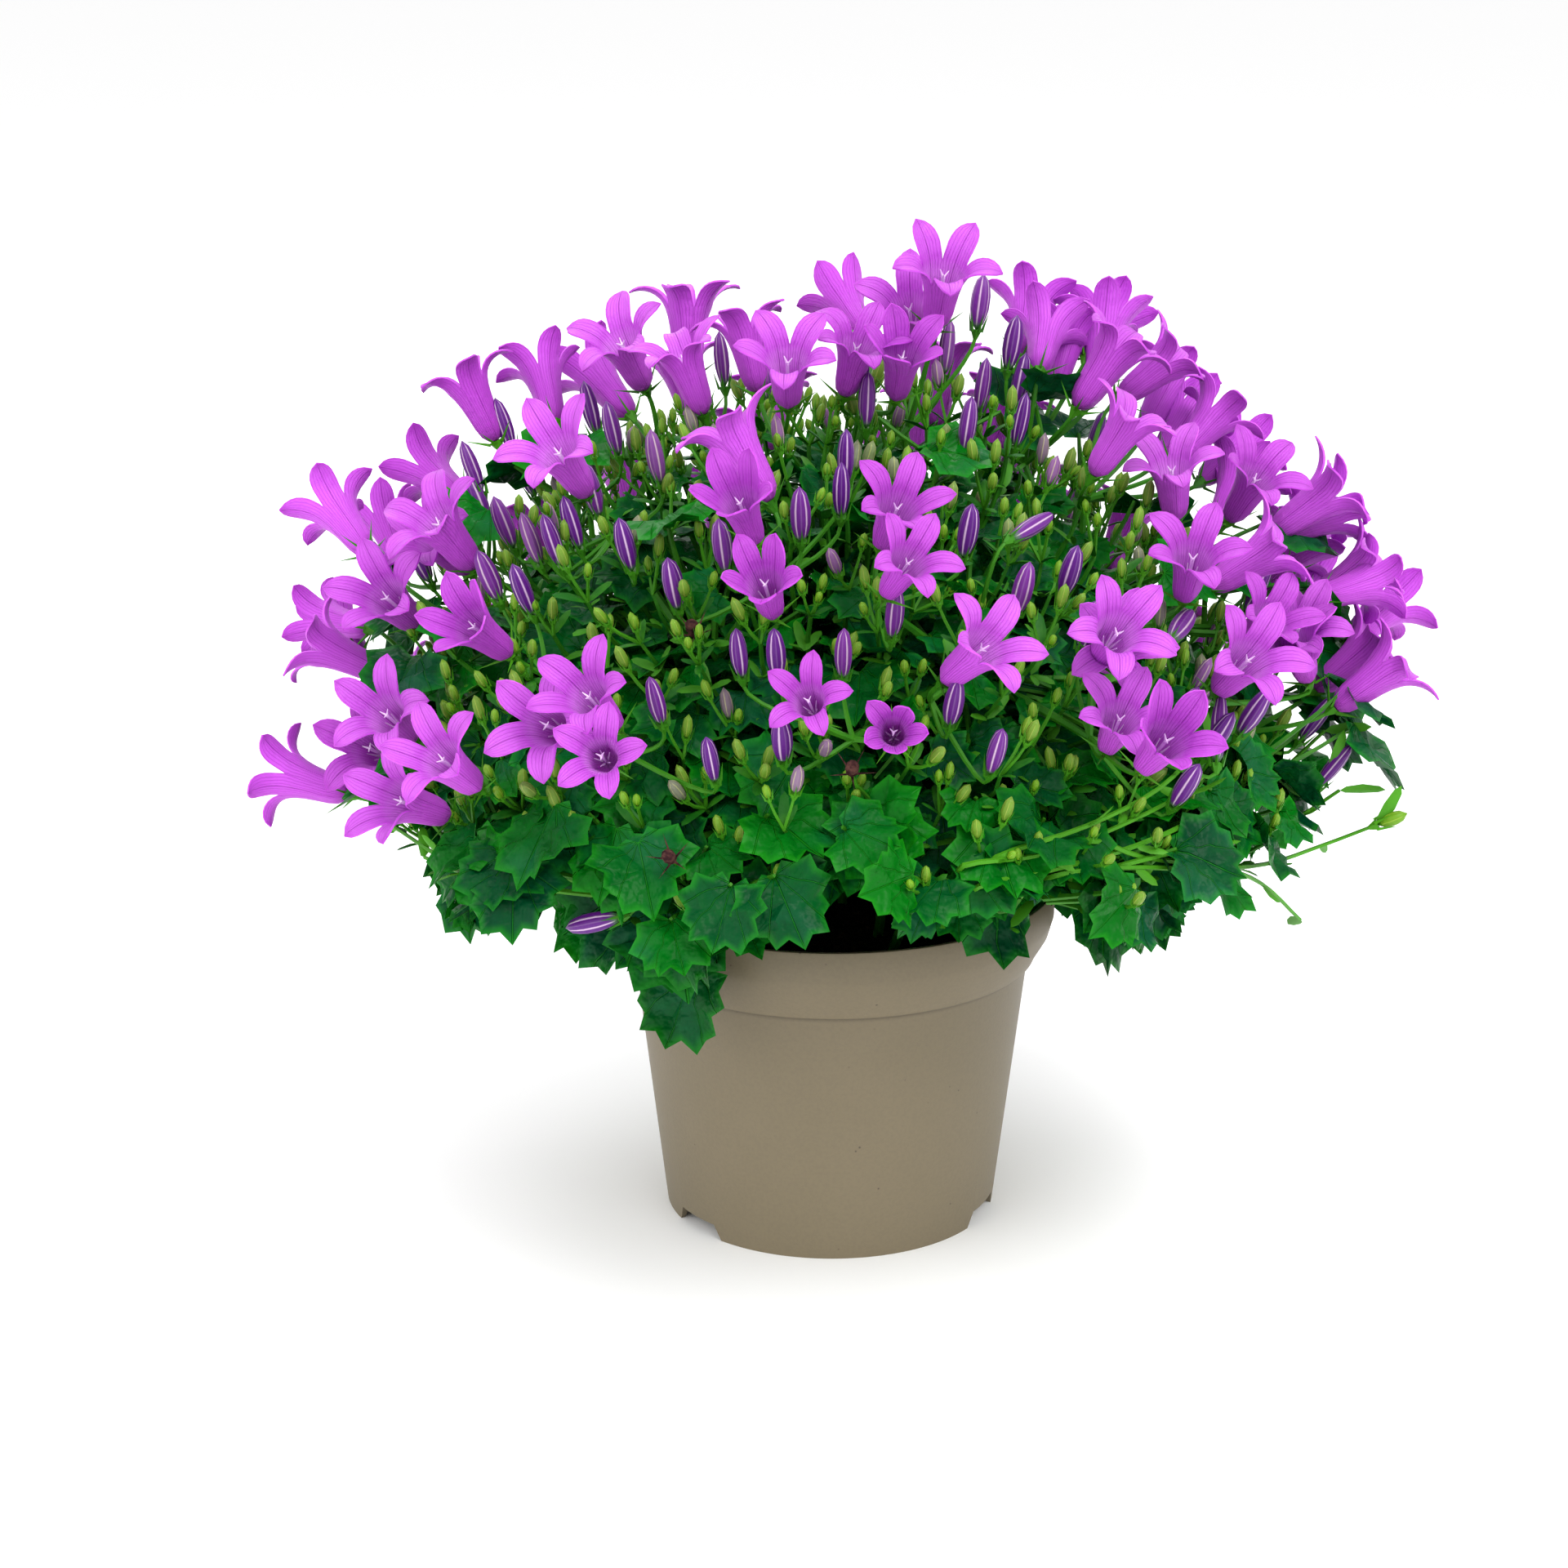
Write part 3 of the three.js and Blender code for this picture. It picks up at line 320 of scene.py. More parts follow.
# Leaves: the outline as radii at angles from the stalk, round a point in the middle of the blade
LEAF_POINTS = 22
LEAF_ANGLES = (0, 25, 50, 80, 110, 140, 165, 180)
LEAF_RADII = (0.36, 0.52, 0.62, 0.6, 0.56, 0.54, 0.57, 0.64)
LEAF_MIDDLE = 0.38
TOOTH = 0.1
LOBING = 0.07
LEAF_THICKNESS = 0.03

# Fold along the middle, waviness and skew of each leaf pattern, and the slopes of its veins
LEAF_FORMS = ((0.16, 0.09, 0), (0.3, 0.12, 1.3), (0.05, 0.15, 2.6), (0.22, 0.1, 4))
VEIN_TURNS = (33, 62, 96)

# Radii of stalks, from root to tip
STEM = (1.5,) * 9
SPRAY_STALK = (1.3, 1.25, 1.2, 1.1, 1.0, 0.9)
BELL_STALK = (0.8, 0.75, 0.7, 0.65, 0.6, 0.6)
BUD_STALK = (0.7, 0.65, 0.6, 0.55, 0.5, 0.5)
SHOOT_STALK = (0.75, 0.7, 0.65, 0.6, 0.55)
LEAF_STALK = (0.8, 0.7, 0.6, 0.5)
WITHERED_STALK = (0.6, 0.55, 0.5, 0.45)
TWIG = (0.5, 0.45, 0.4)
TRAILING_RADII = (0.8, 0.5)

# First seeds of the draws
BACK_SPRAY_SEED = 100
BACK_BUD_SEED = 700
BUD_SEED = 900
LEANING_BUD_SEED = 40
RIM_LEAF_SEED = 1300
SHOOT_SEED = 5000
CRUMB_SEED = 9000
LEAF_SEED = 20000

# Finishes of a flower spray and of a leafy stem, in the order of their materials
PETAL, PETAL_INSIDE, BUD, SPRAY_GREEN, STYLE = range(5)
BLADE, GREEN, YOUNG_BUD, WITHERED_BLOOM = range(4)

# Studio lights: name, place in metres, width, share of the main light's power
LIGHTS = (
    ("key", (0.6, -1.0, 1.5), 1.1, 1),
    ("fill", (-1.1, -0.9, 0.8), 1.2, 0.3),
    ("back", (-0.3, 1.2, 1.3), 1.2, 0.5),
)
LIT_PLACE = Vector((0, 0, 0.12))
FLOOR_SIZE = 60


# Draws and directions


def chance(seed):
    """The same number between 0 and 1 for the same seed, every time."""
    value = math.sin(seed * 12.9898 + 4.1414) * 43758.5453
    return value - math.floor(value)


def mix(low, high, share):
    """The number at a share of the way from low to high."""
    return low + (high - low) * share


def spread(seed, low, high):
    """A number between low and high, the same for the same seed."""
    return mix(low, high, chance(seed))


def ease(value, low, high):
    """0 below low, 1 above high, and a smooth rise between."""
    share = min(1, max(0, (value - low) / (high - low)))
    return share * share * (3 - 2 * share)


def bearing(turn, elevation):
    """Unit vector from the crown at an angle round it and an angle above the level."""
    flat = math.cos(elevation)
    return Vector((math.cos(turn) * flat, math.sin(turn) * flat, math.sin(elevation)))


def out_and_side(turn):
    """Level directions away from the vertical axis and round it, at an angle."""
    cos, sin = math.cos(turn), math.sin(turn)
    return Vector((cos, sin, 0)), Vector((-sin, cos, 0))


def across_axis(axis, turn):
    """Two directions across an axis, turned round it by an angle."""
    helper = UP if abs(axis.z) < 0.95 else Vector((1, 0, 0))
    side = helper.cross(axis).normalized()
    front = axis.cross(side)
    u = side * math.cos(turn) + front * math.sin(turn)
    return u, axis.cross(u)


def sight(x, y):
    """The line of sight through a pixel of the picture."""
    across = (x - PICTURE / 2) / FOCAL
    down = (y - PICTURE / 2) / FOCAL
    cos, sin = math.cos(PITCH), math.sin(PITCH)
    return Vector((across, cos - down * sin, -sin - down * cos)).normalized()


def on_ball(x, y, middle, radius):
    """Both places where the line of sight through a pixel meets a ball, or passes it most closely."""
    ray = sight(x, y)
    to_middle = middle - EYE
    nearest = to_middle.dot(ray)
    miss = to_middle.length_squared - nearest * nearest
    chord = math.sqrt(max(0, radius * radius - miss))
    return EYE + ray * (nearest - chord), EYE + ray * (nearest + chord)


def on_dome(x, y, reach=BLOOM_REACH):
    """The place on a dome round the crown that shows at a pixel."""
    return on_ball(x, y, CROWN, reach)[0]


def pixel_of(point):
    """The pixel of the picture that a point shows at."""
    cos, sin = math.cos(PITCH), math.sin(PITCH)
    off = point - EYE
    depth = off.y * cos - off.z * sin
    rise = off.y * sin + off.z * cos
    return PICTURE / 2 + FOCAL * off.x / depth, PICTURE / 2 - FOCAL * rise / depth


def nearest(items, point):
    """The leafy stem or spray whose hub is nearest to a point."""
    return min(items, key=lambda item: (item.hub - point).length_squared)


# Colours and materials


def linear(code):
    """An sRGB hex colour as linear red, green, blue and full alpha."""
    parts = [int(code[i:i + 2], 16) / 255 for i in (1, 3, 5)]
    return tuple(p / 12.92 if p <= 0.04045 else ((p + 0.055) / 1.055) ** 2.4 for p in parts) + (1,)


def linear_of(colour):
    """A colour property, which holds linear numbers, with full alpha."""
    return tuple(colour) + (1,)


def add_node(tree, kind, feeds=(), out=0, stops=(), **settings):
    """Adds a shader node and gives back one of its outputs, or a few.

    feeds gives values or outputs of other nodes, in the order of the inputs or by their names.
    """
    made = tree.nodes.new("ShaderNode" + kind)
    for name, value in settings.items():
        setattr(made, name, value)
    for key, value in feeds.items() if isinstance(feeds, dict) else enumerate(feeds):
        if isinstance(value, bpy.types.NodeSocket):
            tree.links.new(value, made.inputs[key])
        else:
            made.inputs[key].default_value = value
    for i, (place, colour) in enumerate(stops):
        ramp = made.color_ramp.elements
        stop = ramp[i] if i < len(ramp) else ramp.new(place)
        stop.position = place
        stop.color = colour
    return made.outputs[out]


# Settings of a colour mix, whose inputs are 0, 6 and 7, and of a smooth map range, whose inputs
# are the value, where it starts and ends, and what it starts and ends as
BLEND = {"data_type": "RGBA", "out": 2}
SMOOTH = {"interpolation_type": "SMOOTHSTEP"}


def new_material(name, sockets):
    """A material with one Principled shader, and the call that adds a node to it."""
    material = bpy.data.materials.new(name)
    material.use_nodes = True
    shader = material.node_tree.nodes["Principled BSDF"]
    for key, value in sockets.items():
        shader.inputs[key].default_value = value
    return material, partial(add_node, material.node_tree)


def finished(material, colour, relief, depth_mm, strength):
    """The material, with its colour and a relief of a real depth linked to its shader."""
    tree = material.node_tree
    shader = tree.nodes["Principled BSDF"]
    feeds = {"Height": relief, "Distance": depth_mm * MM, "Strength": strength}
    tree.links.new(colour, shader.inputs["Base Color"])
    tree.links.new(add_node(tree, "Bump", feeds), shader.inputs["Normal"])
    return material


def blotches(add, place, size_mm, low, high, most, detail=3.0):
    """Noise of a size, as a share that rises smoothly from 0 at low to most at high."""
    noise = add("TexNoise", {"Vector": place, "Scale": 1 / (size_mm * MM), "Detail": detail})
    return add("MapRange", (noise, low, high, 0.0, most), **SMOOTH)


def surface_of(add):
    """Places across and along a copied shape, each from 0 to 1."""
    return add("SeparateXYZ", (add("UVMap", uv_map="surface"),), out=slice(2))


def petal_material(looks, inside):
    """Fresh petal: thin and soft, with fine lengthwise veins. Light glows through to its inside, and
    the inside is painted paler towards its throat as painted light.
    """
    material, add = new_material("fresh_petal_inside" if inside else "fresh_petal", {
        "Roughness": 0.5, "Specular IOR Level": 0.18, "Subsurface Weight": 0.3,
        "Subsurface Scale": 1.5 * MM, "Subsurface Radius": (1.0, 0.3, 1.0),
    })
    deep = linear_of(looks.petal_deep_colour)
    place = add("TexCoord", out="Object")
    across, along = surface_of(add)
    swing = add("Math", (across, 2.0, -1.0), operation="MULTIPLY_ADD")
    side = add("Math", (swing,), operation="ABSOLUTE")
    if inside:
        # Painted light: the inside turns paler towards the throat, to lift the shade that falls deep
        # in the tube.
        painted_throat_light = add("MapRange", (along, 0.3, 0.52, 0.75, 0.0), **SMOOTH)
        body = add("Mix", {0: painted_throat_light, 6: linear("#C25ED2"), 7: linear("#EFA9FA")}, **BLEND)
    else:
        foot = add("MapRange", (along, 0.0, 0.62, 0.22, 0.0), **SMOOTH)
        body = add("Mix", {0: foot, 6: linear_of(looks.petal_colour), 7: deep}, **BLEND)
    tip = add("MapRange", (along, 0.86, 1.0, 0.0, 0.35), **SMOOTH)
    tint = add("Attribute", out="Fac", attribute_name="tint")
    age = add("MapRange", (tint, 0.0, 1.0, 0.0, 0.3), **SMOOTH)
    sway = add("TexNoise", {"Vector": place, "Scale": 1 / (4 * MM), "Detail": 3.0})
    sway = add("Math", (sway, 5.0), operation="MULTIPLY")
    wave = add("Math", (side, 26.0, sway), operation="MULTIPLY_ADD")
    wave = add("Math", (wave,), operation="SINE")
    lines = add("MapRange", (wave, 0.55, 1.0, 0.0, 1.0), **SMOOTH)
    depth = add("MapRange", (along, 0.2, 0.95, 0.34, 0.2), **SMOOTH)
    veins = add("Math", (lines, depth), operation="MULTIPLY")
    crease = add("MapRange", (side, 0.0, 0.07, 0.42, 0.0), **SMOOTH)
    for share in (tip, age, veins, crease):
        body = add("Mix", {0: share, 6: body, 7: deep}, **BLEND)
    grain = add("TexNoise", {"Vector": place, "Scale": 1 / (2.5 * MM), "Detail": 3.0})
    relief = add("Math", (crease, -1.5, grain), operation="MULTIPLY_ADD")
    relief = add("Math", (relief, veins), operation="SUBTRACT")
    return finished(material, body, relief, depth_mm=0.5, strength=0.8)


def bud_material():
    """Closed bud: dark folded panels between pale ribs. Young buds are paler, the youngest green."""
    material, add = new_material("folded_bud", {"Roughness": 0.45, "Specular IOR Level": 0.3})
    across, along = surface_of(add)
    age = add("Attribute", out="Fac", attribute_name="tint")
    panel, rib = (
        add("ValToRGB", (age,), stops=[(at, linear(code)) for at, code in zip(AGES, codes)])
        for codes in (PANEL_COLOURS, RIB_COLOURS)
    )
    turn = add("Math", (across, 5.0), operation="MULTIPLY")
    turn = add("Math", (turn,), operation="FRACT")
    swing = add("Math", (turn, 2.0, -1.0), operation="MULTIPLY_ADD")
    off_seam = add("Math", (swing,), operation="ABSOLUTE")
    seam = add("MapRange", (off_seam, 0.0, 0.2, 0.12, 0.0), **SMOOTH)
    ridge = add("MapRange", (off_seam, 0.72, 0.95, 0.0, 1.0), **SMOOTH)
    stripe = add("Math", (ridge, seam), operation="MAXIMUM")
    body = add("Mix", {0: stripe, 6: panel, 7: rib}, **BLEND)
    foot = add("MapRange", (along, 0.04, 0.2, 0.85, 0.0), **SMOOTH)
    body = add("Mix", {0: foot, 6: body, 7: linear("#3F8A1C")}, **BLEND)
    place = add("TexCoord", out="Object")
    grain = add("TexNoise", {"Vector": place, "Scale": 1 / (1.5 * MM), "Detail": 3.0})
    relief = add("Math", (stripe, grain), operation="ADD")
    return finished(material, body, relief, depth_mm=0.3, strength=0.6)


def leaf_material(looks):
    """Leaf blade: smooth, a little waxy, dark with bluish patches that are partly a painted sheen,
    pale at its veins, and light at its teeth: partly a paler margin, partly a painted highlight.
    """
    material, add = new_material("leaf_blade", {"Roughness": 0.38, "Specular IOR Level": 0.09})
    deep = linear_of(looks.leaf_deep_colour)
    fresh = linear_of(looks.leaf_colour)
    light = linear_of(looks.leaf_edge_colour)
    place = add("TexCoord", out="Object")
    across, along = surface_of(add)
    off_middle = add("Math", (across, 0.5), operation="SUBTRACT")
    x = add("Math", (off_middle,), operation="ABSOLUTE")
    y = add("Math", (along, 0.15), operation="SUBTRACT")
    veins = add("MapRange", (x, 0.003, 0.014, 1.0, 0.0), **SMOOTH)
    for degrees in VEIN_TURNS:
        slope = math.radians(degrees)
        rise = add("Math", (y, math.sin(slope)), operation="MULTIPLY")
        run = add("Math", (x, math.cos(slope)), operation="MULTIPLY")
        off = add("Math", (run, rise), operation="SUBTRACT")
        off = add("Math", (off,), operation="ABSOLUTE")
        vein = add("MapRange", (off, 0.002, 0.012, 0.8, 0.0), **SMOOTH)
        veins = add("Math", (veins, vein), operation="MAXIMUM")
    tint = add("Attribute", out="Fac", attribute_name="tint")
    # Low tints darken a leaf; the deeper layers of leaves get them as painted shade.
    tone = add("MapRange", (tint, 0.05, 0.95, 0.0, 1.0), **SMOOTH)
    cloud = blotches(add, place, size_mm=9, low=0.35, high=0.75, most=0.35)
    # Bluish patches: partly the leaf's waxy tone, partly a painted sheen.
    wax_and_sheen = blotches(add, place, size_mm=26, low=0.5, high=0.68, most=0.55)
    edge = add("Attribute", out="Fac", attribute_name="edge")
    # Teeth lighter at the leaf's edge: partly a paler margin, partly a painted highlight on lit
    # teeth.
    rim = add("MapRange", (edge, 0.6, 1.0, 0.0, 0.35), **SMOOTH)
    pale = add("Math", (veins, 0.34), operation="MULTIPLY")
    body = deep
    shares = (tone, fresh), (cloud, fresh), (wax_and_sheen, linear("#16583C")), (rim, light), (pale, light)
    for share, colour in shares:
        body = add("Mix", {0: share, 6: body, 7: colour}, **BLEND)
    grain = add("TexNoise", {"Vector": place, "Scale": 1 / (4.5 * MM), "Detail": 2.0})
    relief = add("Math", (veins, -0.6, grain), operation="MULTIPLY_ADD")
    return finished(material, body, relief, depth_mm=2.2, strength=0.8)


def mottled_material(name, sockets, colours, patch, relief):
    """A material of two colours in patches of a size in mm between two limits, with a grain.

    relief gives the grain's size in mm and its detail, and the depth in mm and strength.
    """
    material, add = new_material(name, sockets)
    place = add("TexCoord", out="Object")
    share = blotches(add, place, *patch, most=1.0)
    body = add("Mix", {0: share, 6: linear(colours[0]), 7: linear(colours[1])}, **BLEND)
    grain_mm, detail, depth_mm, strength = relief
    grain = add("TexNoise", {"Vector": place, "Scale": 1 / (grain_mm * MM), "Detail": detail})
    return finished(material, body, grain, depth_mm, strength)


def withered_material():
    """Withered bloom: dry, crumpled and dark brown."""
    return mottled_material("withered_bloom", {"Roughness": 0.9, "Specular IOR Level": 0.1},
                            ("#2B1519", "#5A3A34"), (1.5, 0.35, 0.7), (0.8, 3.0, 0.4, 1.0))


def style_material():
    """Style and stamens in a bell: waxy and pale, with a faint grain."""
    return mottled_material("pale_style", {"Roughness": 0.5},
                            ("#F4E6F6", "#E6C8EC"), (2.0, 0.3, 0.7), (1.0, 3.0, 0.02, 0.5))


def soil_material():
    """Damp peat: near black crumbs and fibres with browner grains."""
    return mottled_material("damp_peat", {"Roughness": 0.95, "Specular IOR Level": 0.15},
                            ("#0E0A07", "#3A2A1C"), (1.6, 0.45, 0.8), (0.9, 6.0, 0.6, 1.0))


def stalk_material():
    """Soft young stalk and calyx: juicy yellow green, a little lighter in places."""
    material, add = new_material("green_stalk", {"Roughness": 0.5, "Specular IOR Level": 0.2})
    place = add("TexCoord", out="Object")
    tint = add("Attribute", out="Fac", attribute_name="tint")
    tone = add("MapRange", (tint, 0.0, 1.0, 0.0, 1.0), **SMOOTH)
    body = linear("#0C580B")
    cloud = blotches(add, place, size_mm=5, low=0.4, high=0.8, most=0.35)
    for share in (tone, cloud):
        body = add("Mix", {0: share, 6: body, 7: linear("#52A01C")}, **BLEND)
    grain = add("TexNoise", {"Vector": place, "Scale": 1 / (1.2 * MM), "Detail": 3.0})
    return finished(material, body, grain, depth_mm=0.15, strength=0.5)


def pot_material(looks):
    """Moulded plastic with recycled content: matte taupe, dark specks, and a painted shadow under the
    band.
    """
    material, add = new_material("moulded_plastic", {"Roughness": 0.5, "Specular IOR Level": 0.4})
    place = add("TexCoord", out="Object")
    cells = add("TexVoronoi", {"Vector": place, "Scale": 1 / (5.5 * MM)}, out="Distance")
    dots = add("MapRange", (cells, 0.03, 0.075, 0.75, 0.0), **SMOOTH)
    few = blotches(add, place, size_mm=21, low=0.5, high=0.62, most=1.0)
    specks = add("Math", (dots, few), operation="MULTIPLY")
    height = add("SeparateXYZ", (place,), out=2)
    # Painted shadow: the wall just under the band is painted darker, standing in for the shade that
    # the band casts.
    line = SHOULDER_HEIGHT * MM
    under = add("MapRange", (height, line - 1.6 * MM, line, 0.0, 0.5), **SMOOTH)
    over = (height, line + 0.2 * MM, line + 0.7 * MM, 1.0, 0.0)
    over = add("MapRange", over, **SMOOTH)
    painted_shadow_under_band = add("Math", (under, over), operation="MULTIPLY")
    cloud = blotches(add, place, size_mm=38, low=0.35, high=0.7, most=0.18)
    fine = blotches(add, place, size_mm=0.9, low=0.35, high=0.7, most=0.16, detail=2.0)
    body = linear_of(looks.pot_colour)
    shares = (cloud, "#83765F"), (fine, "#5F5648"), (specks, "#3A332B"), (painted_shadow_under_band, "#3A332B")
    for share, code in shares:
        body = add("Mix", {0: share, 6: body, 7: linear(code)}, **BLEND)
    grain = add("TexNoise", {"Vector": place, "Scale": 1 / (0.7 * MM), "Detail": 4.0})
    return finished(material, body, grain, depth_mm=0.08, strength=0.5)


# Modelling


def deselect():
    """Leaves edit mode and selects nothing."""
    if bpy.context.object and bpy.context.object.mode != "OBJECT":
        leave_edit()
    bpy.ops.object.select_all(action="DESELECT")


def edit(obj):
    """Enters edit mode on one object, with all of it selected."""
    deselect()
    obj.select_set(True)
    bpy.context.view_layer.objects.active = obj
    bpy.ops.object.mode_set(mode="EDIT")
    bpy.ops.mesh.select_all(action="SELECT")


def leave_edit():
    """Goes back from edit mode to object mode."""
    bpy.ops.object.mode_set(mode="OBJECT")


def face_outwards(obj):
    """Turns all faces of an object outwards."""
    edit(obj)
    bpy.ops.mesh.normals_make_consistent(inside=False)
    leave_edit()


def move_points(obj, rule):
    """Moves each point of a mesh to where a rule takes it."""
    for vertex in obj.data.vertices:
        vertex.co = rule(vertex.co)


def shaped(add_primitive, rule, **settings):
    """A primitive mesh with each point moved to where a rule takes it."""
    deselect()
    add_primitive(**settings)
    made = bpy.context.object
    move_points(made, rule)
    return made


def joined(parts):
    """Parts joined into one object."""
    deselect()
    for part in parts:
        part.select_set(True)
    bpy.context.view_layer.objects.active = parts[0]
    bpy.ops.object.join()
    return bpy.context.object


def apply_modifier(obj, kind, **settings):
    """Adds a modifier with its settings and applies it."""
    bpy.context.view_layer.objects.active = obj
    modifier = obj.modifiers.new(kind.lower(), kind)
    for name, value in settings.items():
        setattr(modifier, name, value)
    bpy.ops.object.modifier_apply(modifier=modifier.name)


def smooth(piece, degrees):
    """Shades a piece smooth, apart from edges sharper than an angle."""
    deselect()
    piece.select_set(True)
    bpy.context.view_layer.objects.active = piece
    bpy.ops.object.shade_smooth_by_angle(angle=math.radians(degrees))


def curve(start, bend, end, steps):
    """Points on a curve that leaves start towards bend and arrives at end from it."""
    places = []
    for i in range(steps + 1):
        t = i / steps
        places.append(start * (1 - t) ** 2 + bend * (2 * t * (1 - t)) + end * t * t)
    return places


def rounded(places, steps):
    """A smooth path through places, with steps between each two."""
    ends = [places[0] * 2 - places[1], *places, places[-1] * 2 - places[-2]]
    path = []
    for a, b, c, d in zip(ends, ends[1:], ends[2:], ends[3:]):
        for i in range(steps):
            t = i / steps
            path.append((b * 2 + (c - a) * t + (a * 2 - b * 5 + c * 4 - d) * t * t
                         + (b * 3 - a - c * 3 + d) * t ** 3) / 2)
    return path + [places[-1]]


# Patterns, which are modelled once and copied


class Pattern:
    """A modelled shape that is ready to be copied: points, faces, places on the surface, edges."""

    def __init__(self, obj, finish=0, edge=None):
        mesh = obj.data
        count = len(mesh.vertices)
        self.points = np.empty(count * 3)
        mesh.vertices.foreach_get("co", self.points)
        self.points = self.points.reshape(-1, 3)
        self.corners = np.empty(len(mesh.loops), dtype=int)
        mesh.loops.foreach_get("vertex_index", self.corners)
        self.sizes = np.empty(len(mesh.polygons), dtype=int)
        mesh.polygons.foreach_get("loop_total", self.sizes)
        self.marks = np.zeros(len(mesh.loops) * 2)
        if mesh.uv_layers:
            mesh.uv_layers.active.data.foreach_get("uv", self.marks)
        self.marks = self.marks.reshape(-1, 2)
        slots = np.zeros(len(mesh.polygons), dtype=int)
        mesh.polygons.foreach_get("material_index", slots)
        self.finish = finish + slots
        self.edge = np.zeros(count) if edge is None else np.array(edge)
        bpy.data.objects.remove(obj)
        bpy.data.meshes.remove(mesh)


class Tube:
    """A round stalk along a path, closed at both ends, made like a pattern."""

    def __init__(self, path, radii, sides, finish):
        rings, u = [], None
        for i, (place, radius) in enumerate(zip(path, radii)):
            ahead = (path[min(i + 1, len(path) - 1)] - path[max(i - 1, 0)]).normalized()
            if u is None:
                u = across_axis(ahead, 0)[0]
            else:
                u = (u - ahead * u.dot(ahead)).normalized()
            v = ahead.cross(u)
            for k in range(sides):
                angle = 2 * math.pi * k / sides
                rings.append(place + (u * math.cos(angle) + v * math.sin(angle)) * radius)
        self.points = np.array(rings)
        faces, marks = [], []
        last = len(path) - 1
        for i in range(last):
            for k in range(sides):
                a, b = i * sides + k, i * sides + (k + 1) % sides
                faces.append((a, b, b + sides, a + sides))
                left, right, low, high = k / sides, (k + 1) / sides, i / last, (i + 1) / last
                marks += [(left, low), (right, low), (right, high), (left, high)]
        faces.append(tuple(range(sides - 1, -1, -1)))
        faces.append(tuple(last * sides + k for k in range(sides)))
        marks += [(0.5, 0)] * sides + [(0.5, 1)] * sides
        self.corners = np.concatenate(faces)
        self.sizes = np.array([len(face) for face in faces])
        self.marks = np.array(marks)
        self.finish = np.full(len(faces), finish)
        self.edge = np.zeros(len(self.points))


def set_out(points, place, axes, scale=1):
    """Points of a pattern, moved from its own axes to a place with other axes."""
    return (points * np.array(scale)) @ np.array(axes) + np.array(place)


class Bunch:
    """Copies of patterns and tubes, joined into one piece. Points are in millimetres."""

    def __init__(self):
        self.points, self.corners, self.sizes = [], [], []
        self.marks, self.finish, self.edge, self.tint = [], [], [], []
        self.count = 0

    def add(self, pattern, points, tint, finish=None):
        """Adds a pattern with its points where they are given, in another finish if one is given."""
        self.points.append(points)
        self.corners.append(pattern.corners + self.count)
        self.sizes.append(pattern.sizes)
        self.marks.append(pattern.marks)
        same = finish is None
        self.finish.append(pattern.finish if same else np.full(len(pattern.sizes), finish))
        self.edge.append(pattern.edge)
        self.tint.append(np.full(len(points), tint))
        self.count += len(points)

    def put(self, pattern, place, axes, scale, tint, finish=None):
        """Adds a copy of a pattern at a place, with other axes."""
        self.add(pattern, set_out(pattern.points, place, axes, scale), tint, finish)

    def stalk(self, start, bend, end, radii, tint, sides=4, finish=GREEN):
        """Adds a curved stalk from start to end, with a ring for each of its radii."""
        tube = Tube(curve(start, bend, end, len(radii) - 1), radii, sides, finish)
        self.add(tube, tube.points, tint)

    def build(self, name, materials):
        """Makes the piece of all that was added."""
        points = np.vstack(self.points) * MM
        corners = np.concatenate(self.corners)
        sizes = np.concatenate(self.sizes)
        mesh = bpy.data.meshes.new(name)
        mesh.vertices.add(len(points))
        mesh.vertices.foreach_set("co", points.ravel())
        mesh.loops.add(len(corners))
        mesh.loops.foreach_set("vertex_index", corners)
        mesh.polygons.add(len(sizes))
        mesh.polygons.foreach_set("loop_start", np.concatenate(([0], np.cumsum(sizes)[:-1])))
        mesh.polygons.foreach_set("material_index", np.concatenate(self.finish))
        mesh.update(calc_edges=True)
        mesh.uv_layers.new(name="surface").data.foreach_set("uv", np.vstack(self.marks).ravel())
        for label, values in (("edge", self.edge), ("tint", self.tint)):
            layer = mesh.attributes.new(label, "FLOAT", "POINT")
            layer.data.foreach_set("value", np.concatenate(values).astype(np.float32))
        for material in materials:
            mesh.materials.append(material)
        piece = bpy.data.objects.new(name, mesh)
        bpy.context.scene.collection.objects.link(piece)
        smooth(piece, PLANT_CREASE)
        return piece


def model_bell(seed, opening):
    """A bell: a tube of five panels that part into five pointed lobes, each with its own curl."""
    panels = []
    for k in range(LOBES):
        curl = math.radians(mix(CURL_SHUT, CURL_OPEN, opening) + spread(seed + k, -26, 24))
        sway = spread(seed + 10 + k, -1.6, 1.6)
        turn = 2 * math.pi * (k + 0.5) / LOBES
        panels.append(shaped(
            bpy.ops.mesh.primitive_grid_add,
            lambda p: panel_point(p.x, (p.y + 1) / 2, turn, curl, sway, opening),
            x_subdivisions=PANEL_COLUMNS, y_subdivisions=TUBE_ROWS + LOBE_ROWS, size=2,
        ))
    bell = joined(panels)
    edit(bell)
    bpy.ops.mesh.remove_doubles(threshold=PANEL_GAP)
    face_outwards(bell)
    # A bell is open, so a face halfway up its tube shows which way its faces look.
    wall = next(face for face in bell.data.polygons if 8 < face.center.z < 12)
    if wall.normal.dot(wall.center) < wall.normal.z * wall.center.z:
        bell.data.flip_normals()
    for _ in (PETAL, PETAL_INSIDE):
        bell.data.materials.append(None)
    apply_modifier(bell, "SOLIDIFY", thickness=PETAL_THICKNESS, offset=-1, material_offset=1)
    return bell


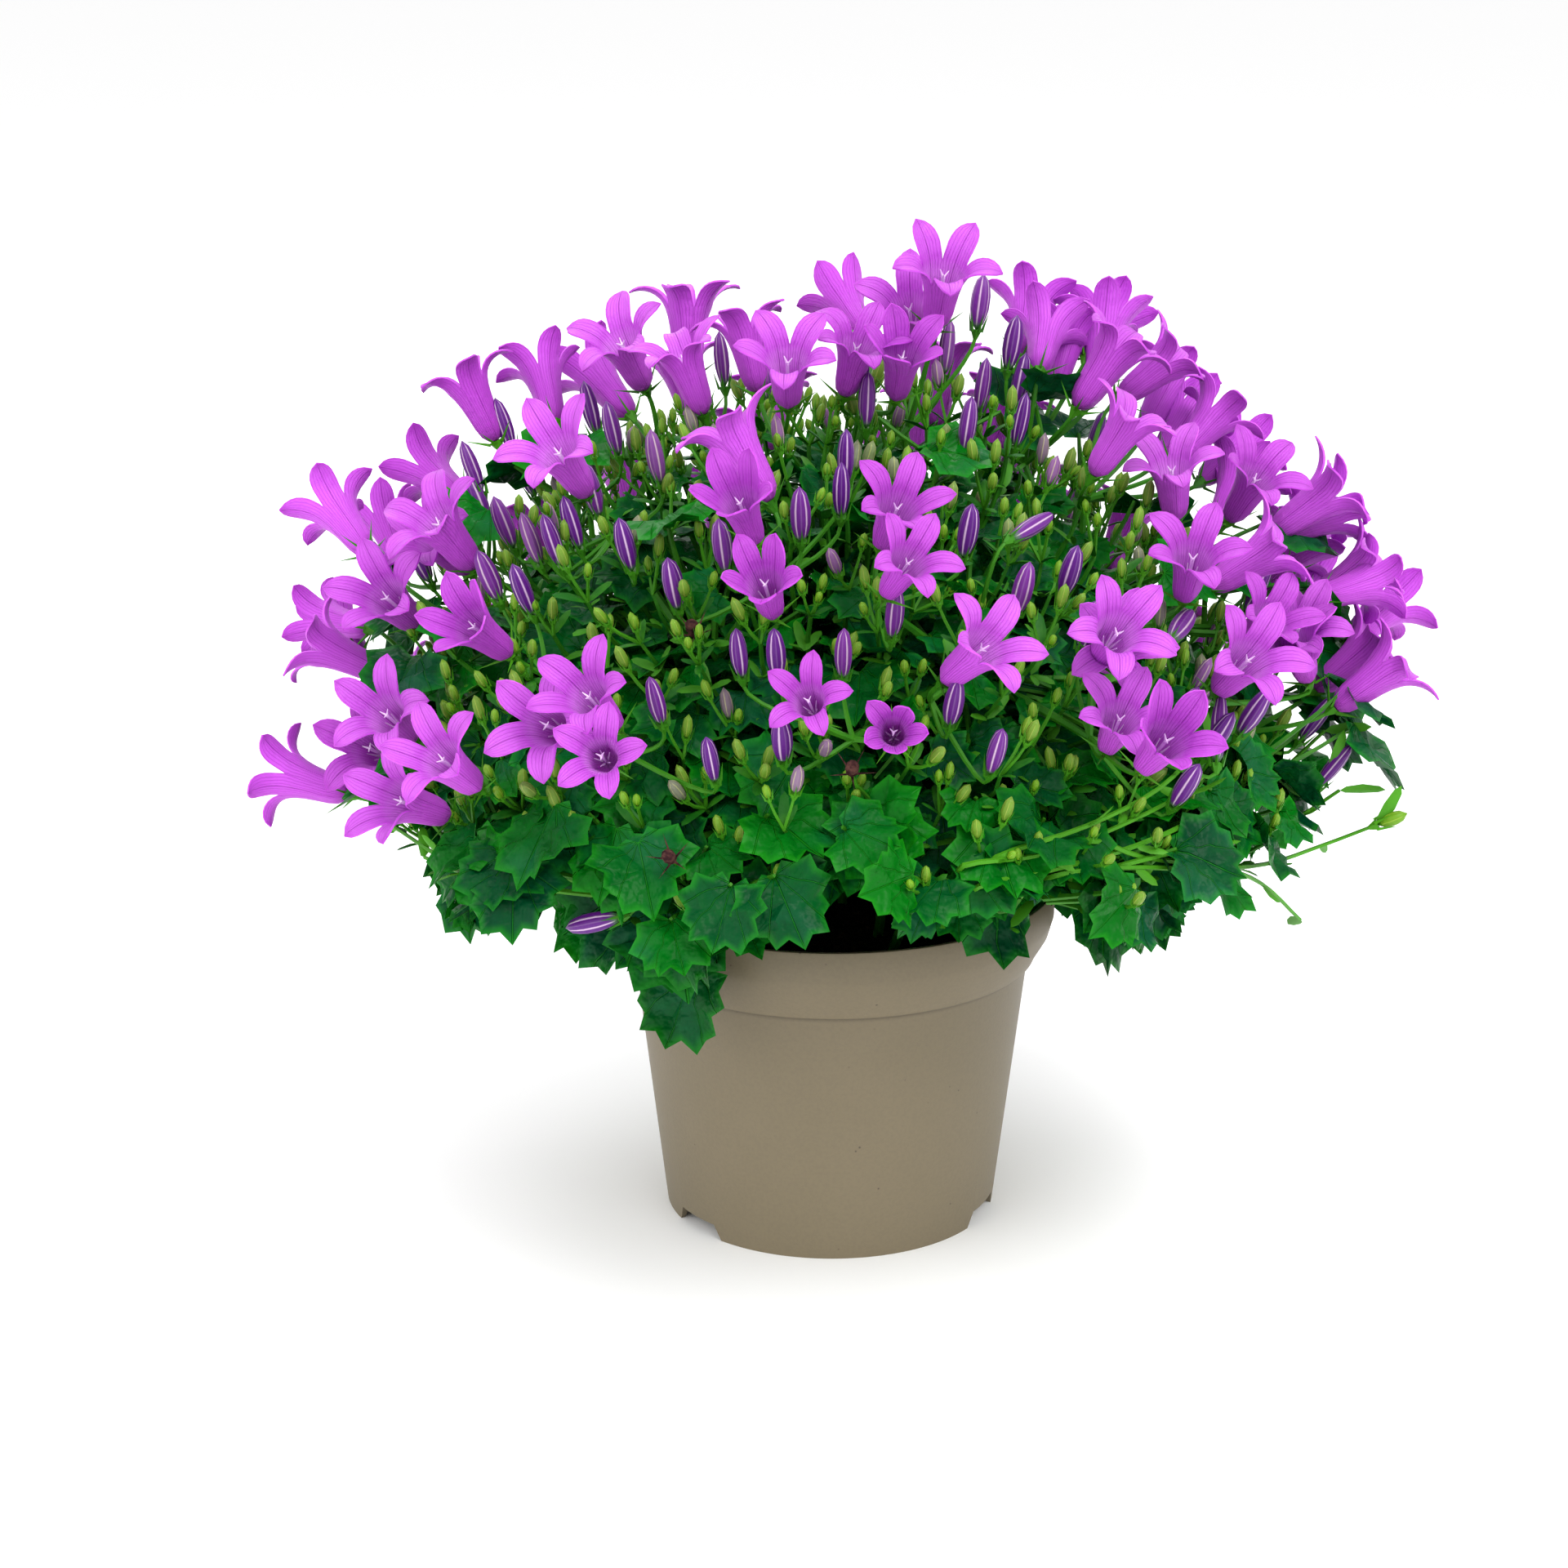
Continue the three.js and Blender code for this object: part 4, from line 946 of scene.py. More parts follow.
def panel_point(side, along, turn, curl, sway, opening):
    """Where a point of a flat panel goes on a bell. side runs from -1 to 1, along from 0 to 1."""
    half = math.pi / LOBES
    width_share = mix(TUBE_NARROWEST, 1, opening)
    if along <= TUBE_SHARE + 1e-6:
        row = along / TUBE_SHARE * TUBE_ROWS
        share = np.interp(row, range(TUBE_ROWS + 1), TUBE_HEIGHTS)
        radius = np.interp(row, range(TUBE_ROWS + 1), TUBE_RADII) * width_share
        radius *= 1 + 0.055 * math.cos(math.pi * side) * (1 - share * share)
        angle = turn + side * half
        return Vector((radius * math.cos(angle), radius * math.sin(angle), share * TUBE_LENGTH))
    step = (along - TUBE_SHARE) / (1 - TUBE_SHARE)
    bend = curl - MOUTH_SLOPE
    slope = MOUTH_SLOPE + bend * step
    mouth = MOUTH_RADIUS * width_share
    radius = mouth + LOBE_LENGTH * (math.cos(MOUTH_SLOPE) - math.cos(slope)) / bend
    height = TUBE_LENGTH + LOBE_LENGTH * (math.sin(slope) - math.sin(MOUTH_SLOPE)) / bend
    width = np.interp(step, LOBE_STEPS, LOBE_HALF_WIDTHS) * side + sway * step * step
    cup = mouth * (1 - math.cos(half)) * (1 - step) ** 2 + 0.7 * math.sin(math.pi * step)
    inward = cup * side * side - 0.25 * math.sin(math.pi * step) * (1 - abs(side))
    radius -= inward * math.cos(slope)
    height += inward * math.sin(slope)
    cos, sin = math.cos(turn), math.sin(turn)
    return Vector((radius * cos - width * sin, radius * sin + width * cos, height))


def cone_ring(count, lean, foot, rise, slim=1, **cone):
    """Cones round the axis that lean outwards. foot is how far out and how high they start."""
    cones = []
    for k in range(count):
        out, side = out_and_side(2 * math.pi * k / count)
        start = out * foot[0] + UP * foot[1]
        tilt = Quaternion(side, lean)
        cones.append(shaped(
            bpy.ops.mesh.primitive_cone_add,
            lambda p: start + tilt @ Vector((p.x * slim, p.y * slim, p.z + rise)), **cone,
        ))
    return cones


def model_style():
    """The style that shows in a bell's mouth, with a club and three short arms, and its stamens."""

    def club(p):
        width = 1.5 if p.z > 0 else 0.8
        return Vector((p.x * width, p.y * width, p.z + 7))

    rod = shaped(bpy.ops.mesh.primitive_cylinder_add, club, vertices=6, radius=0.34, depth=12)
    arms = cone_ring(3, 0.7, (0, 12.9), 1.1, vertices=4, radius1=0.36, radius2=0.12, depth=2)
    stamens = cone_ring(
        LOBES, 0.3, (0.8, 4.5), 3, vertices=4, radius1=0.4, radius2=0.12, depth=5,
    )
    return joined([rod, *arms, *stamens])


def model_calyx(length, lean, cup_radius, cup_height):
    """A green cup with five narrow pointed sepals, its rim at the origin."""
    cup = shaped(
        bpy.ops.mesh.primitive_cone_add,
        lambda p: Vector((p.x, p.y, p.z - cup_height / 2 + 0.3)),
        vertices=6, radius1=0.55, radius2=cup_radius, depth=cup_height,
    )
    sepals = cone_ring(
        LOBES, lean, (0.85 * cup_radius, -0.255), length / 2, 0.8,
        vertices=3, radius1=0.62, radius2=0, depth=length,
    )
    return joined([cup, *sepals])


def model_bud(sides, rings, fold):
    """A closed bud, one unit long and one across, with five ribs where it is folded."""

    def rule(p):
        share = math.acos(max(-1, min(1, -p.z))) / math.pi
        angle = math.atan2(p.y, p.x)
        radius = np.interp(share, BUD_STEPS, BUD_RADII) * (1 - fold * math.sin(2.5 * angle) ** 2)
        if math.hypot(p.x, p.y) < 1e-5:
            radius = 0
        return Vector((radius * math.cos(angle), radius * math.sin(angle), share))

    return shaped(
        bpy.ops.mesh.primitive_uv_sphere_add, rule, segments=sides, ring_count=rings, radius=1,
    )


def model_bract():
    """A narrow pointed bract one unit long, from its foot at the origin."""
    return shaped(
        bpy.ops.mesh.primitive_uv_sphere_add,
        lambda p: Vector((p.x * 0.28, p.z + 0.5, p.y * 0.09 - 0.22 * (p.z + 0.5) ** 2)),
        segments=4, ring_count=4, radius=0.5,
    )


def leaf_outline(i, skew):
    """Point i round the toothed edge of a leaf one unit long, from its stalk at the origin."""
    angle = 360 * i / LEAF_POINTS
    radius = np.interp(angle if angle <= 180 else 360 - angle, LEAF_ANGLES, LEAF_RADII)
    if i % LEAF_POINTS:
        radius *= 1 + TOOTH * (1 if i % 2 else -1) * (1 + 0.6 * math.sin(2.3 * i + skew))
        radius *= 1 + LOBING * math.cos(math.radians(5 * angle) + 0.5 * math.sin(skew))
    turn = math.radians(angle)
    return Vector((radius * math.sin(turn), LEAF_MIDDLE - radius * math.cos(turn), 0))


def model_leaf(fold, wave, skew):
    """A broad leaf with coarse teeth, raised between its veins, with a thin underside."""
    deselect()
    bpy.ops.mesh.primitive_circle_add(vertices=LEAF_POINTS, radius=1, fill_type="NOTHING")
    leaf = bpy.context.object
    edit(leaf)
    bpy.ops.mesh.extrude_region_move()
    bpy.ops.transform.resize(value=(0.5, 0.5, 1))
    bpy.ops.mesh.edge_face_add()
    bpy.ops.mesh.poke()
    leave_edit()
    edge = []

    def rule(p):
        reach = math.hypot(p.x, p.y)
        angle = math.degrees(math.atan2(p.x, -p.y)) % 360
        i = round(angle / 360 * LEAF_POINTS) % LEAF_POINTS
        middle = Vector((0, LEAF_MIDDLE, 0))
        if reach < 0.1:
            edge.append(0)
            return middle
        out = leaf_outline(i, skew)
        if reach < 0.75:
            edge.append(0.25)
            out = middle.lerp(out, 0.56)
            rise = 0.055 * math.cos(math.radians(angle) * 5 + 0.4 * skew)
        else:
            edge.append(1)
            rise = wave * math.cos(math.radians(angle) * 3 + skew)
        out.x *= 1.04
        out.z = fold * abs(out.x) + rise
        return out

    move_points(leaf, rule)
    layers = leaf.data.uv_layers
    layer = layers[0] if layers else layers.new(name="surface")
    for corner in leaf.data.loops:
        p = leaf.data.vertices[corner.vertex_index].co
        layer.data[corner.index].uv = (p.x + 0.5, p.y * 0.8 + 0.15)
    face_outwards(leaf)
    if leaf.data.polygons[0].normal.z < 0:
        leaf.data.flip_normals()
    return with_underside(Pattern(leaf, BLADE, edge))


def with_underside(pattern):
    """Closes a leaf with an underside that meets its top along the toothed edge."""
    count = len(pattern.points)
    inner = np.flatnonzero(pattern.edge < 0.9)
    lower = np.arange(count)
    lower[inner] = count + np.arange(len(inner))
    sunk = pattern.points[inner].copy()
    sunk[:, 2] -= LEAF_THICKNESS
    pattern.points = np.vstack((pattern.points, sunk))
    pattern.edge = np.concatenate((pattern.edge, pattern.edge[inner]))
    starts = np.concatenate(([0], np.cumsum(pattern.sizes)[:-1]))
    corners, marks = [pattern.corners], [pattern.marks]
    for start, size in zip(starts, pattern.sizes):
        corners.append(lower[pattern.corners[start:start + size][::-1]])
        marks.append(pattern.marks[start:start + size][::-1])
    pattern.corners = np.concatenate(corners)
    pattern.marks = np.vstack(marks)
    pattern.sizes = np.tile(pattern.sizes, 2)
    pattern.finish = np.tile(pattern.finish, 2)
    return pattern


def model_shapes():
    """All the patterns, by name."""
    calyx = model_calyx(length=7.5, lean=0.95, cup_radius=2.1, cup_height=3.2)
    bud_calyx = model_calyx(length=5.5, lean=0.25, cup_radius=1.7, cup_height=2.6)
    return {
        "bells": {
            form: [Pattern(model_bell(seed, opening), PETAL) for seed in seeds]
            for form, (opening, seeds) in BELL_FORMS.items()
        },
        "style": Pattern(model_style(), STYLE),
        "calyx": Pattern(calyx, SPRAY_GREEN),
        "bud_calyx": Pattern(bud_calyx, SPRAY_GREEN),
        "bud": Pattern(model_bud(sides=20, rings=8, fold=0.14), BUD),
        "young_bud": Pattern(model_bud(sides=8, rings=5, fold=0), YOUNG_BUD),
        "bract": Pattern(model_bract(), GREEN),
        "leaves": [model_leaf(*form) for form in LEAF_FORMS],
    }


# The plan of the plant, worked out as in the CAD model


def bell_from_pixels(x, y, mouth_x, mouth_y, back=0):
    """The base of a bell and the middle of its mouth."""
    base = on_dome(x, y) + sight(x, y) * back
    ends = on_ball(mouth_x, mouth_y, base, TUBE_LENGTH)
    return base, max(ends, key=lambda end: (end - CROWN).length)


def back_spray(number, turn_degrees, elevation_degrees, count):
    """The bells of a spray on the far side, spread round its middle."""
    seed = BACK_SPRAY_SEED + 20 * number
    turn = math.radians(turn_degrees)
    elevation = math.radians(elevation_degrees)
    bells = []
    for k in range(count):
        around = 2 * math.pi * k / count + spread(seed + 2, 0, 6)
        out = bearing(
            turn + BACK_SPREAD * math.cos(around) / math.cos(elevation),
            elevation + BACK_SPREAD * math.sin(around),
        )
        base = CROWN + out * (BLOOM_REACH + spread(seed + 3 + k, -16, -6))
        lean = out + UP * spread(seed + 6 + k, 0.2, 0.8) - bearing(turn, elevation) * 0.5
        bells.append((base, base + lean.normalized() * TUBE_LENGTH))
    return bells


class Head:
    """A leafy stem: where its foot stands in the soil, and its hub in the middle of its shoots."""

    def __init__(self, number, turn, elevation, foot):
        self.number = number
        self.out = bearing(turn, elevation)
        self.hub = CROWN + self.out * HEAD_REACH
        self.foot = bearing(turn, 0) * foot
        self.foot.z = SOIL_EDGE - STEM_DEPTH
        self.bunch = Bunch()


class Spray:
    """A few bells and buds that fork from one stalk, at a hub."""

    def __init__(self, number, bells, heads):
        self.number = number
        self.bells = bells
        middle = sum((bell[0] for bell in bells), Vector()) / len(bells)
        reach = min(HUB_REACH, (middle - CROWN).length - HUB_DEPTH)
        seat = CROWN + (middle - CROWN).normalized() * reach
        self.head = nearest(heads, seat)
        way = seat - self.head.hub
        self.hub = self.head.hub + way.normalized() * max(way.length, HUB_NEAREST)
        self.bunch = Bunch()


class Plan:
    """Where the leafy stems and the sprays of the plant are, with the bells of each spray."""

    def __init__(self):
        self.heads = []
        for count, elevation, turn, foot in HEAD_RINGS:
            for i in range(count):
                angle = math.radians(turn + 360 / count * i)
                number = len(self.heads) + 1
                self.heads.append(Head(number, angle, math.radians(elevation), foot))
        groups = [[bell_from_pixels(*numbers) for numbers in bells] for bells in FRONT_SPRAYS]
        groups += [back_spray(i, *numbers) for i, numbers in enumerate(BACK_SPRAYS)]
        self.sprays = [Spray(i + 1, bells, self.heads) for i, bells in enumerate(groups)]
        for numbers in ADDED_BELLS:
            bell = bell_from_pixels(*numbers)
            nearest(self.sprays, bell[0]).bells.append(bell)
        bells = [bell for spray in self.sprays for bell in spray.bells]
        self.bases = np.array([bell[0] for bell in bells])
        self.ways = np.array([(mouth - base) / TUBE_LENGTH for base, mouth in bells])

    def clear(self, point, margin):
        """Whether a point stays clear of the bells by a margin in millimetres."""
        to_point = np.array(point) - self.bases
        along = np.sum(to_point * self.ways, axis=1)
        off = np.linalg.norm(to_point - self.ways * along[:, None], axis=1)
        return bool(np.all(off > np.interp(along, *BELL_ROOM) + margin))


def bud_lean(out):
    """The way that a bud or shoot points: away from the crown and upwards."""
    return (out + UP * 1.15).normalized()


def lowest_leaf(turn):
    """Sine of the lowest angle that leaves are set at, for a way round the crown."""
    in_front = max(0, math.cos(turn - math.radians(SKIRT_FRONT)))
    return math.sin(math.radians(mix(SKIRT_LOWEST, SKIRT_FRONT_LOWEST, in_front ** 3)))


def leaf_reach(elevation):
    """How far out the leaves stand, at an angle above the level."""
    share = ease(elevation, math.radians(SKIRT_LOWEST), math.radians(14))
    return mix(LEAF_REACH_LOW, LEAF_REACH, share)


def clear_of_edge(out, reach, drop):
    """Raises a leaf round the crown until its tip shows above the lower edge of the leaves."""
    columns, rows = zip(*SKIRT_EDGE)
    for _ in range(14):
        x, y = pixel_of(CROWN + out * reach - UP * drop)
        if y < np.interp(x, columns, rows):
            break
        out = (out + UP * 0.045).normalized()
    return out


# Parts of the plant


def add_bells(spray, shapes):
    """The bells of a spray, each with its style, calyx and stalk."""
    bunch = spray.bunch
    for k, (base, mouth) in enumerate(spray.bells):
        i = spray.number - 1
        seed = 31 * i + k
        axis = (mouth - base).normalized()
        axes = (*across_axis(axis, spread(seed, 0, 1.2)), axis)
        form = "rolled" if abs(axis.y) < SIDE_ON else "wide"
        size = SMALL_BELLS.get((spray.number, k), spread(seed + 9, 0.85, 0.99))
        tint = chance(seed + 5)
        if (spray.number, k) == CUP_BELL:
            form, size, tint = "cup", CUP_SIZE, 1.6
        if (spray.number, k) in HALF_OPEN_BELLS:
            form, tint = "half_open", 1
        bells = shapes["bells"][form]
        bunch.put(bells[(2 * i + k) % len(bells)], base, axes, size, tint)
        bunch.put(shapes["style"], base, axes, (size, size, 1.3 * size), tint)
        bunch.put(shapes["calyx"], base, axes, 1, 0.3 + 0.4 * tint)
        foot = base - axis * 2.6
        bunch.stalk(spray.hub, foot - axis * 5, foot, BELL_STALK, 0.35, 5, SPRAY_GREEN)


def add_bud(bunch, shapes, root, base, lean, seed, settings, grown=1):
    """A purple bud with its calyx, on a stalk from a root."""
    size = spread(BUD_SEED + seed, 0.8, 1.05)
    tint = 0.42 * chance(BUD_SEED + 50 + seed) ** 2
    axes = (*across_axis(lean, spread(BUD_SEED + 20 + seed, 0, 1.2)), lean)
    width = settings.bud_width / MM / 2 * size
    bunch.put(shapes["bud"], base, axes, (width, width, settings.bud_length / MM * grown), tint)
    bunch.put(shapes["bud_calyx"], base, axes, 1, 0.4)
    foot = base - lean * 2
    bunch.stalk(root, foot - lean * 6, foot, BUD_STALK, 0.4, 5, SPRAY_GREEN)


def add_purple_buds(sprays, shapes, settings):
    """Upright purple buds, in front by their pixels and behind by draws."""
    places = []
    length = settings.bud_length / MM
    for x, y in FRONT_BUDS + ADDED_BUDS:
        middle = on_dome(x, y)
        lean = bud_lean((middle - CROWN).normalized())
        places.append((middle - lean * length / 2, lean))
    for i in range(BACK_BUD_COUNT):
        seed = BACK_BUD_SEED + 5 * i
        turn = math.radians(mix(15, 165, (i + 0.5) / BACK_BUD_COUNT) + spread(seed + 1, -6, 6))
        out = bearing(turn, math.radians(spread(seed, 2, 75)))
        places.append((CROWN + out * (BLOOM_REACH - 4), bud_lean(out)))
    for i, (base, lean) in enumerate(places):
        spray = nearest(sprays, base)
        add_bud(spray.bunch, shapes, spray.hub, base, lean, i, settings)


def add_leaning_buds(sprays, shapes, settings):
    """The bud that lies over the rim, and the buds that lean out and are about to open."""
    buds = [(LYING_BUD, LYING_REACH, LYING_GROWN)]
    buds += [(pair, BLOOM_REACH, OPENING_GROWN) for pair in OPENING_BUDS]
    for i, (ends, reach, grown) in enumerate(buds):
        base, tip = (on_dome(x, y, reach) for x, y in ends)
        spray = nearest(sprays, base)
        root = spray.head.hub.lerp(base, 0.3)
        lean = (tip - base).normalized()
        add_bud(spray.bunch, shapes, root, base, lean, LEANING_BUD_SEED + i, settings, grown)


def add_leaf(heads, shapes, place, out, turn, lift, length, bend, roll, seed, tint):
    """Sets a leaf at a place, its blade hanging down and turned, and joins it by a stalk."""
    head = nearest(heads, place)
    elevation = math.asin(max(-1, min(1, out.z)))
    around = math.atan2(out.y, out.x)
    down = bearing(around, elevation - math.pi / 2)
    side = bearing(around + math.pi / 2, 0)
    ahead = (down * math.cos(turn) + side * math.sin(turn) + out * lift).normalized()
    across = ahead.cross(out + UP * 0.4).normalized()
    across.rotate(Quaternion(ahead, roll))
    axes = (across, ahead, across.cross(ahead).normalized())
    pattern = shapes["leaves"][int(chance(seed + 7) * len(LEAF_FORMS))]
    bent = pattern.points.copy()
    bent[:, 2] -= bend * (bent[:, 0] ** 2 + 0.6 * bent[:, 1] ** 2)
    head.bunch.add(pattern, set_out(bent, place, axes, length), tint)
    root = head.hub.lerp(place, 0.45)
    middle = root.lerp(place, 0.6) + out * 3
    head.bunch.stalk(root, middle, place + ahead * 0.3, LEAF_STALK, 0.35)


def add_rim_leaves(heads, shapes, full):
    """Leaves that hang over the rim of the pot."""
    for i, (turn_degrees, distance, height) in enumerate(RIM_LEAVES):
        seed = RIM_LEAF_SEED + 10 * i
        out = bearing(math.radians(turn_degrees), 0)
        place = Vector((0, 0, height)) + out * (RIM_RADIUS + distance)
        turn = spread(seed + 5, -0.5, 0.5)
        lift = spread(seed + 3, 0.25, 0.5)
        length = full * spread(seed + 4, 1.05, 1.3)
        tint = chance(seed + 6)
        add_leaf(heads, shapes, place, out, turn, lift, length, 0.12, 0, seed, tint)


def add_leaf_layers(plan, shapes, full, leaf_count):
    """The layers of leaves all over the crown."""
    for layer, (share, deepest, highest, size) in enumerate(LEAF_LAYERS):
        count = int(leaf_count * share)
        for i in range(count):
            seed = LEAF_SEED * (layer + 1) + 10 * i
            around = i * GOLDEN_ANGLE + layer
            height = mix(lowest_leaf(around), 1, (i + 0.5) / count)
            above = max(0, height)
            length = full * size * spread(seed + 1, 0.65, 1.2) * mix(1, 0.7, above)
            elevation = math.asin(height)
            reach = leaf_reach(elevation) + spread(seed, deepest, highest)
            reach -= LEAF_RECESS * ease(above, 0.2, 0.5)
            out = clear_of_edge(bearing(around, elevation), reach, length * 0.9)
            place = CROWN + out * reach
            if not plan.clear(place, LEAF_MARGIN):
                continue
            turn = spread(seed + 2, -1.3, 1.3)
            lift = spread(seed + 3, 0.0, 0.8) + 0.5 * above
            bend = spread(seed + 4, 0.05, 0.35)
            roll = spread(seed + 8, -0.6, 0.6)
            # Painted shade: leaves of the deeper layers get a lower tint, which makes them darker.
            tint = mix(chance(seed + 6), 0.7, 0.4 * above) * (1 - 0.35 * layer)
            add_leaf(plan.heads, shapes, place, out, turn, lift, length, bend, roll, seed, tint)


def add_outer_leaves(heads, shapes, full):
    """Leaves on long stalks that stand out of the crown at its sides."""
    for i, (x, y) in enumerate(OUTER_LEAVES):
        seed = 30 * i + 8
        place = on_dome(x, y, LEAF_REACH) + Vector((0, spread(seed + 9, -10, 25), 0))
        out = (place - CROWN).normalized()
        turn = spread(seed + 2, -1.2, 1.2)
        lift = spread(seed + 3, 0.1, 0.8)
        length = full * spread(seed + 1, 0.85, 1.15)
        roll = spread(seed + 4, -0.7, 0.7)
        tint = chance(seed + 5)
        add_leaf(heads, shapes, place, out, turn, lift, length, 0.2, roll, seed, tint)


def add_shoots(plan, shapes, shoot_count):
    """Thin flowering shoots all over the crown, each forking to a few young buds."""
    for i in range(shoot_count):
        seed = SHOOT_SEED + 40 * i
        height = mix(math.sin(math.radians(6)), 1, (i + 0.5) / shoot_count)
        out = bearing(i * GOLDEN_ANGLE + 1.1, math.asin(height))
        head = nearest(plan.heads, CROWN + out * LEAF_REACH)
        root = CROWN + out * spread(seed, 68, 84)
        lean = (bud_lean(out) + bearing(spread(seed + 1, 0, 6.3), 0) * 0.3).normalized()
        fork = CROWN + out * (LEAF_REACH + spread(seed + 2, -20, -5)) + lean * 2
        x, y = pixel_of(fork)
        if out.y < 0 and SOIL_GAP[0] < x < SOIL_GAP[1] and y > SOIL_GAP_TOP:
            continue
        head.bunch.stalk(root, fork - lean * 10, fork, SHOOT_STALK, 0.25)
        for k in range(2 + round(chance(seed + 4))):
            add_shoot_branch(plan, head, shapes, fork, lean, seed + 5 + 9 * k, k)


def add_shoot_branch(plan, head, shapes, fork, lean, seed, k):
    """A branch of a shoot: its young bud with a cup, and two narrow bracts on the shoot."""
    side, front = across_axis(lean, spread(seed, 0, 1.2) + 2.1 * k)
    way = (lean + side * spread(seed + 1, 0.15, 0.75)).normalized()
    base = fork + way * spread(seed + 2, 4, 13)
    for n in range(2):
        ahead = lean * 0.8 + side * (1 - 2 * n) + front * spread(seed + 6 + n, -0.6, 0.6)
        ahead.normalize()
        axes = (ahead.cross(lean).normalized(), ahead, lean)
        size = spread(seed + 3 + n, 5, 11)
        head.bunch.put(shapes["bract"], fork - lean * 9 * n, axes, size, 0.1 + 0.35 * n)
    if not plan.clear(base, BUD_MARGIN):
        return
    age = chance(seed + 4) ** 0.5
    length = mix(9.5, 3.6, age) * spread(seed + 5, 0.9, 1.1)
    width = mix(3.5, 1.9, age) / 2
    rise = (way + UP * 0.5).normalized()
    axes = (*across_axis(rise, 0.5), rise)
    head.bunch.put(shapes["young_bud"], base, axes, (width, width, length), 0.42 + 0.58 * age)
    head.bunch.put(shapes["bud_calyx"], base, axes, mix(0.8, 0.55, age), 0.6, GREEN)
    head.bunch.stalk(fork, base - rise * 3, base - rise, TWIG, 0.5)


def add_trailing_stems(heads, shapes):
    """Long thin stems that lean out low at the sides, with bracts and a bud at the tip."""
    for i, pixels in enumerate(TRAILING_STEMS):
        path = [on_dome(x, y, TRAILING_REACH) for x, y in pixels]
        head = nearest(heads, path[0])
        path.insert(0, head.hub.lerp(path[0], 0.5))
        line = rounded(path, 4)
        stem = Tube(line, np.linspace(*TRAILING_RADII, len(line)), 5, GREEN)
        head.bunch.add(stem, stem.points, 0.6)
        for k in range(2, len(path)):
            lean = (path[k] - path[k - 1]).normalized()
            side, front = across_axis(lean, 2.4 * k + i)
            ahead = (lean + side * 0.7).normalized()
            axes = (ahead.cross(front).normalized(), ahead, front)
            size = 8 if k < len(path) - 1 else 12
            head.bunch.put(shapes["bract"], path[k], axes, size, 0.6)
        if i in TRAILING_WITH_BUD:
            axes = (*across_axis(lean, 0), lean)
            head.bunch.put(shapes["young_bud"], path[-1], axes, (1.9, 1.9, 8.5), 0.95)
            head.bunch.put(shapes["bud_calyx"], path[-1], axes, 1, 0.7, GREEN)


def add_withered_blooms(heads, shapes):
    """Dry brown blooms that have closed again."""
    for i, (x, y) in enumerate(WITHERED):
        place = on_dome(x, y, LEAF_REACH + 1)
        lean = ((place - CROWN).normalized() + UP * 0.4).normalized()
        axes = (*across_axis(lean, i), lean)
        head = nearest(heads, place)
        for name, scale in (("young_bud", (1.7, 1.7, 4.5)), ("calyx", (0.75, 0.75, 0.6))):
            head.bunch.put(shapes[name], place, axes, scale, 0.1, WITHERED_BLOOM)
        root = head.hub.lerp(place, 0.6)
        head.bunch.stalk(root, place - lean * 8, place - lean, WITHERED_STALK, 0.4)


# The pot and its soil


def pot_profile():
    """Radius and height of each ring of the pot: under the floor, up, over the lip, down inside."""
    slope = (SHOULDER_RADIUS - BASE_RADIUS) / SHOULDER_HEIGHT
    inside = RIM_RADIUS - WALL
    last_bend = BAND_BENDS[1]
    return [
        (FLOOR_START, FLOOR_HEIGHT),
        (BASE_RADIUS - 2 * WALL, FLOOR_HEIGHT),
        (BASE_RADIUS - WALL, 0),
        (BASE_RADIUS, 0),
        (SHOULDER_RADIUS - slope - CREASE, SHOULDER_HEIGHT - 1),
        (SHOULDER_RADIUS - CREASE, SHOULDER_HEIGHT),
        (SHOULDER_RADIUS + 0.15, SHOULDER_HEIGHT + 0.05),
        (SHOULDER_RADIUS + 0.9, SHOULDER_HEIGHT + 0.7),
        *BAND_BENDS,
        (RIM_RADIUS - 0.35, STRAIGHT_HEIGHT - 1.2),
        (RIM_RADIUS, STRAIGHT_HEIGHT),
        (RIM_RADIUS, POT_HEIGHT - LIP),
        (RIM_RADIUS - 0.15, POT_HEIGHT - 0.12),
        (RIM_RADIUS - LIP, POT_HEIGHT),
        (inside + 0.2, POT_HEIGHT),
        (inside, POT_HEIGHT - 0.3),
        (inside, STRAIGHT_HEIGHT),
        (last_bend[0] - WALL, last_bend[1] + 0.4),
        (SHOULDER_RADIUS - WALL - CREASE, SHOULDER_HEIGHT + 0.3),
        (BASE_RADIUS + slope * FLOOR_HEIGHT - WALL, FLOOR_HEIGHT + WALL),
        (FLOOR_START, FLOOR_HEIGHT + WALL),
    ]


def notch_block(degrees):
    """A block for a foot notch, narrower at its top, across the wall at an angle."""
    out, side = out_and_side(math.radians(degrees))

    def rule(p):
        half = NOTCH_WIDTH / 2 - (NOTCH_SLOPE if p.z > 0 else 0)
        across = half if p.y > 0 else -half
        height = NOTCH_HEIGHT if p.z > 0 else -1
        return (out * (BASE_RADIUS + NOTCH_DEPTH * p.x) + side * across + UP * height) * MM

    block = shaped(bpy.ops.mesh.primitive_cube_add, rule, size=1)
    face_outwards(block)
    return block


def drain_block(degrees):
    """A round block for a drain hole in the floor, at an angle."""
    place = out_and_side(math.radians(degrees))[0] * DRAIN_CIRCLE + UP * FLOOR_HEIGHT
    deselect()
    bpy.ops.mesh.primitive_cylinder_add(
        vertices=DRAIN_SIDES, radius=DRAIN_RADIUS * MM, depth=4 * WALL * MM, location=place * MM,
    )
    return bpy.context.object


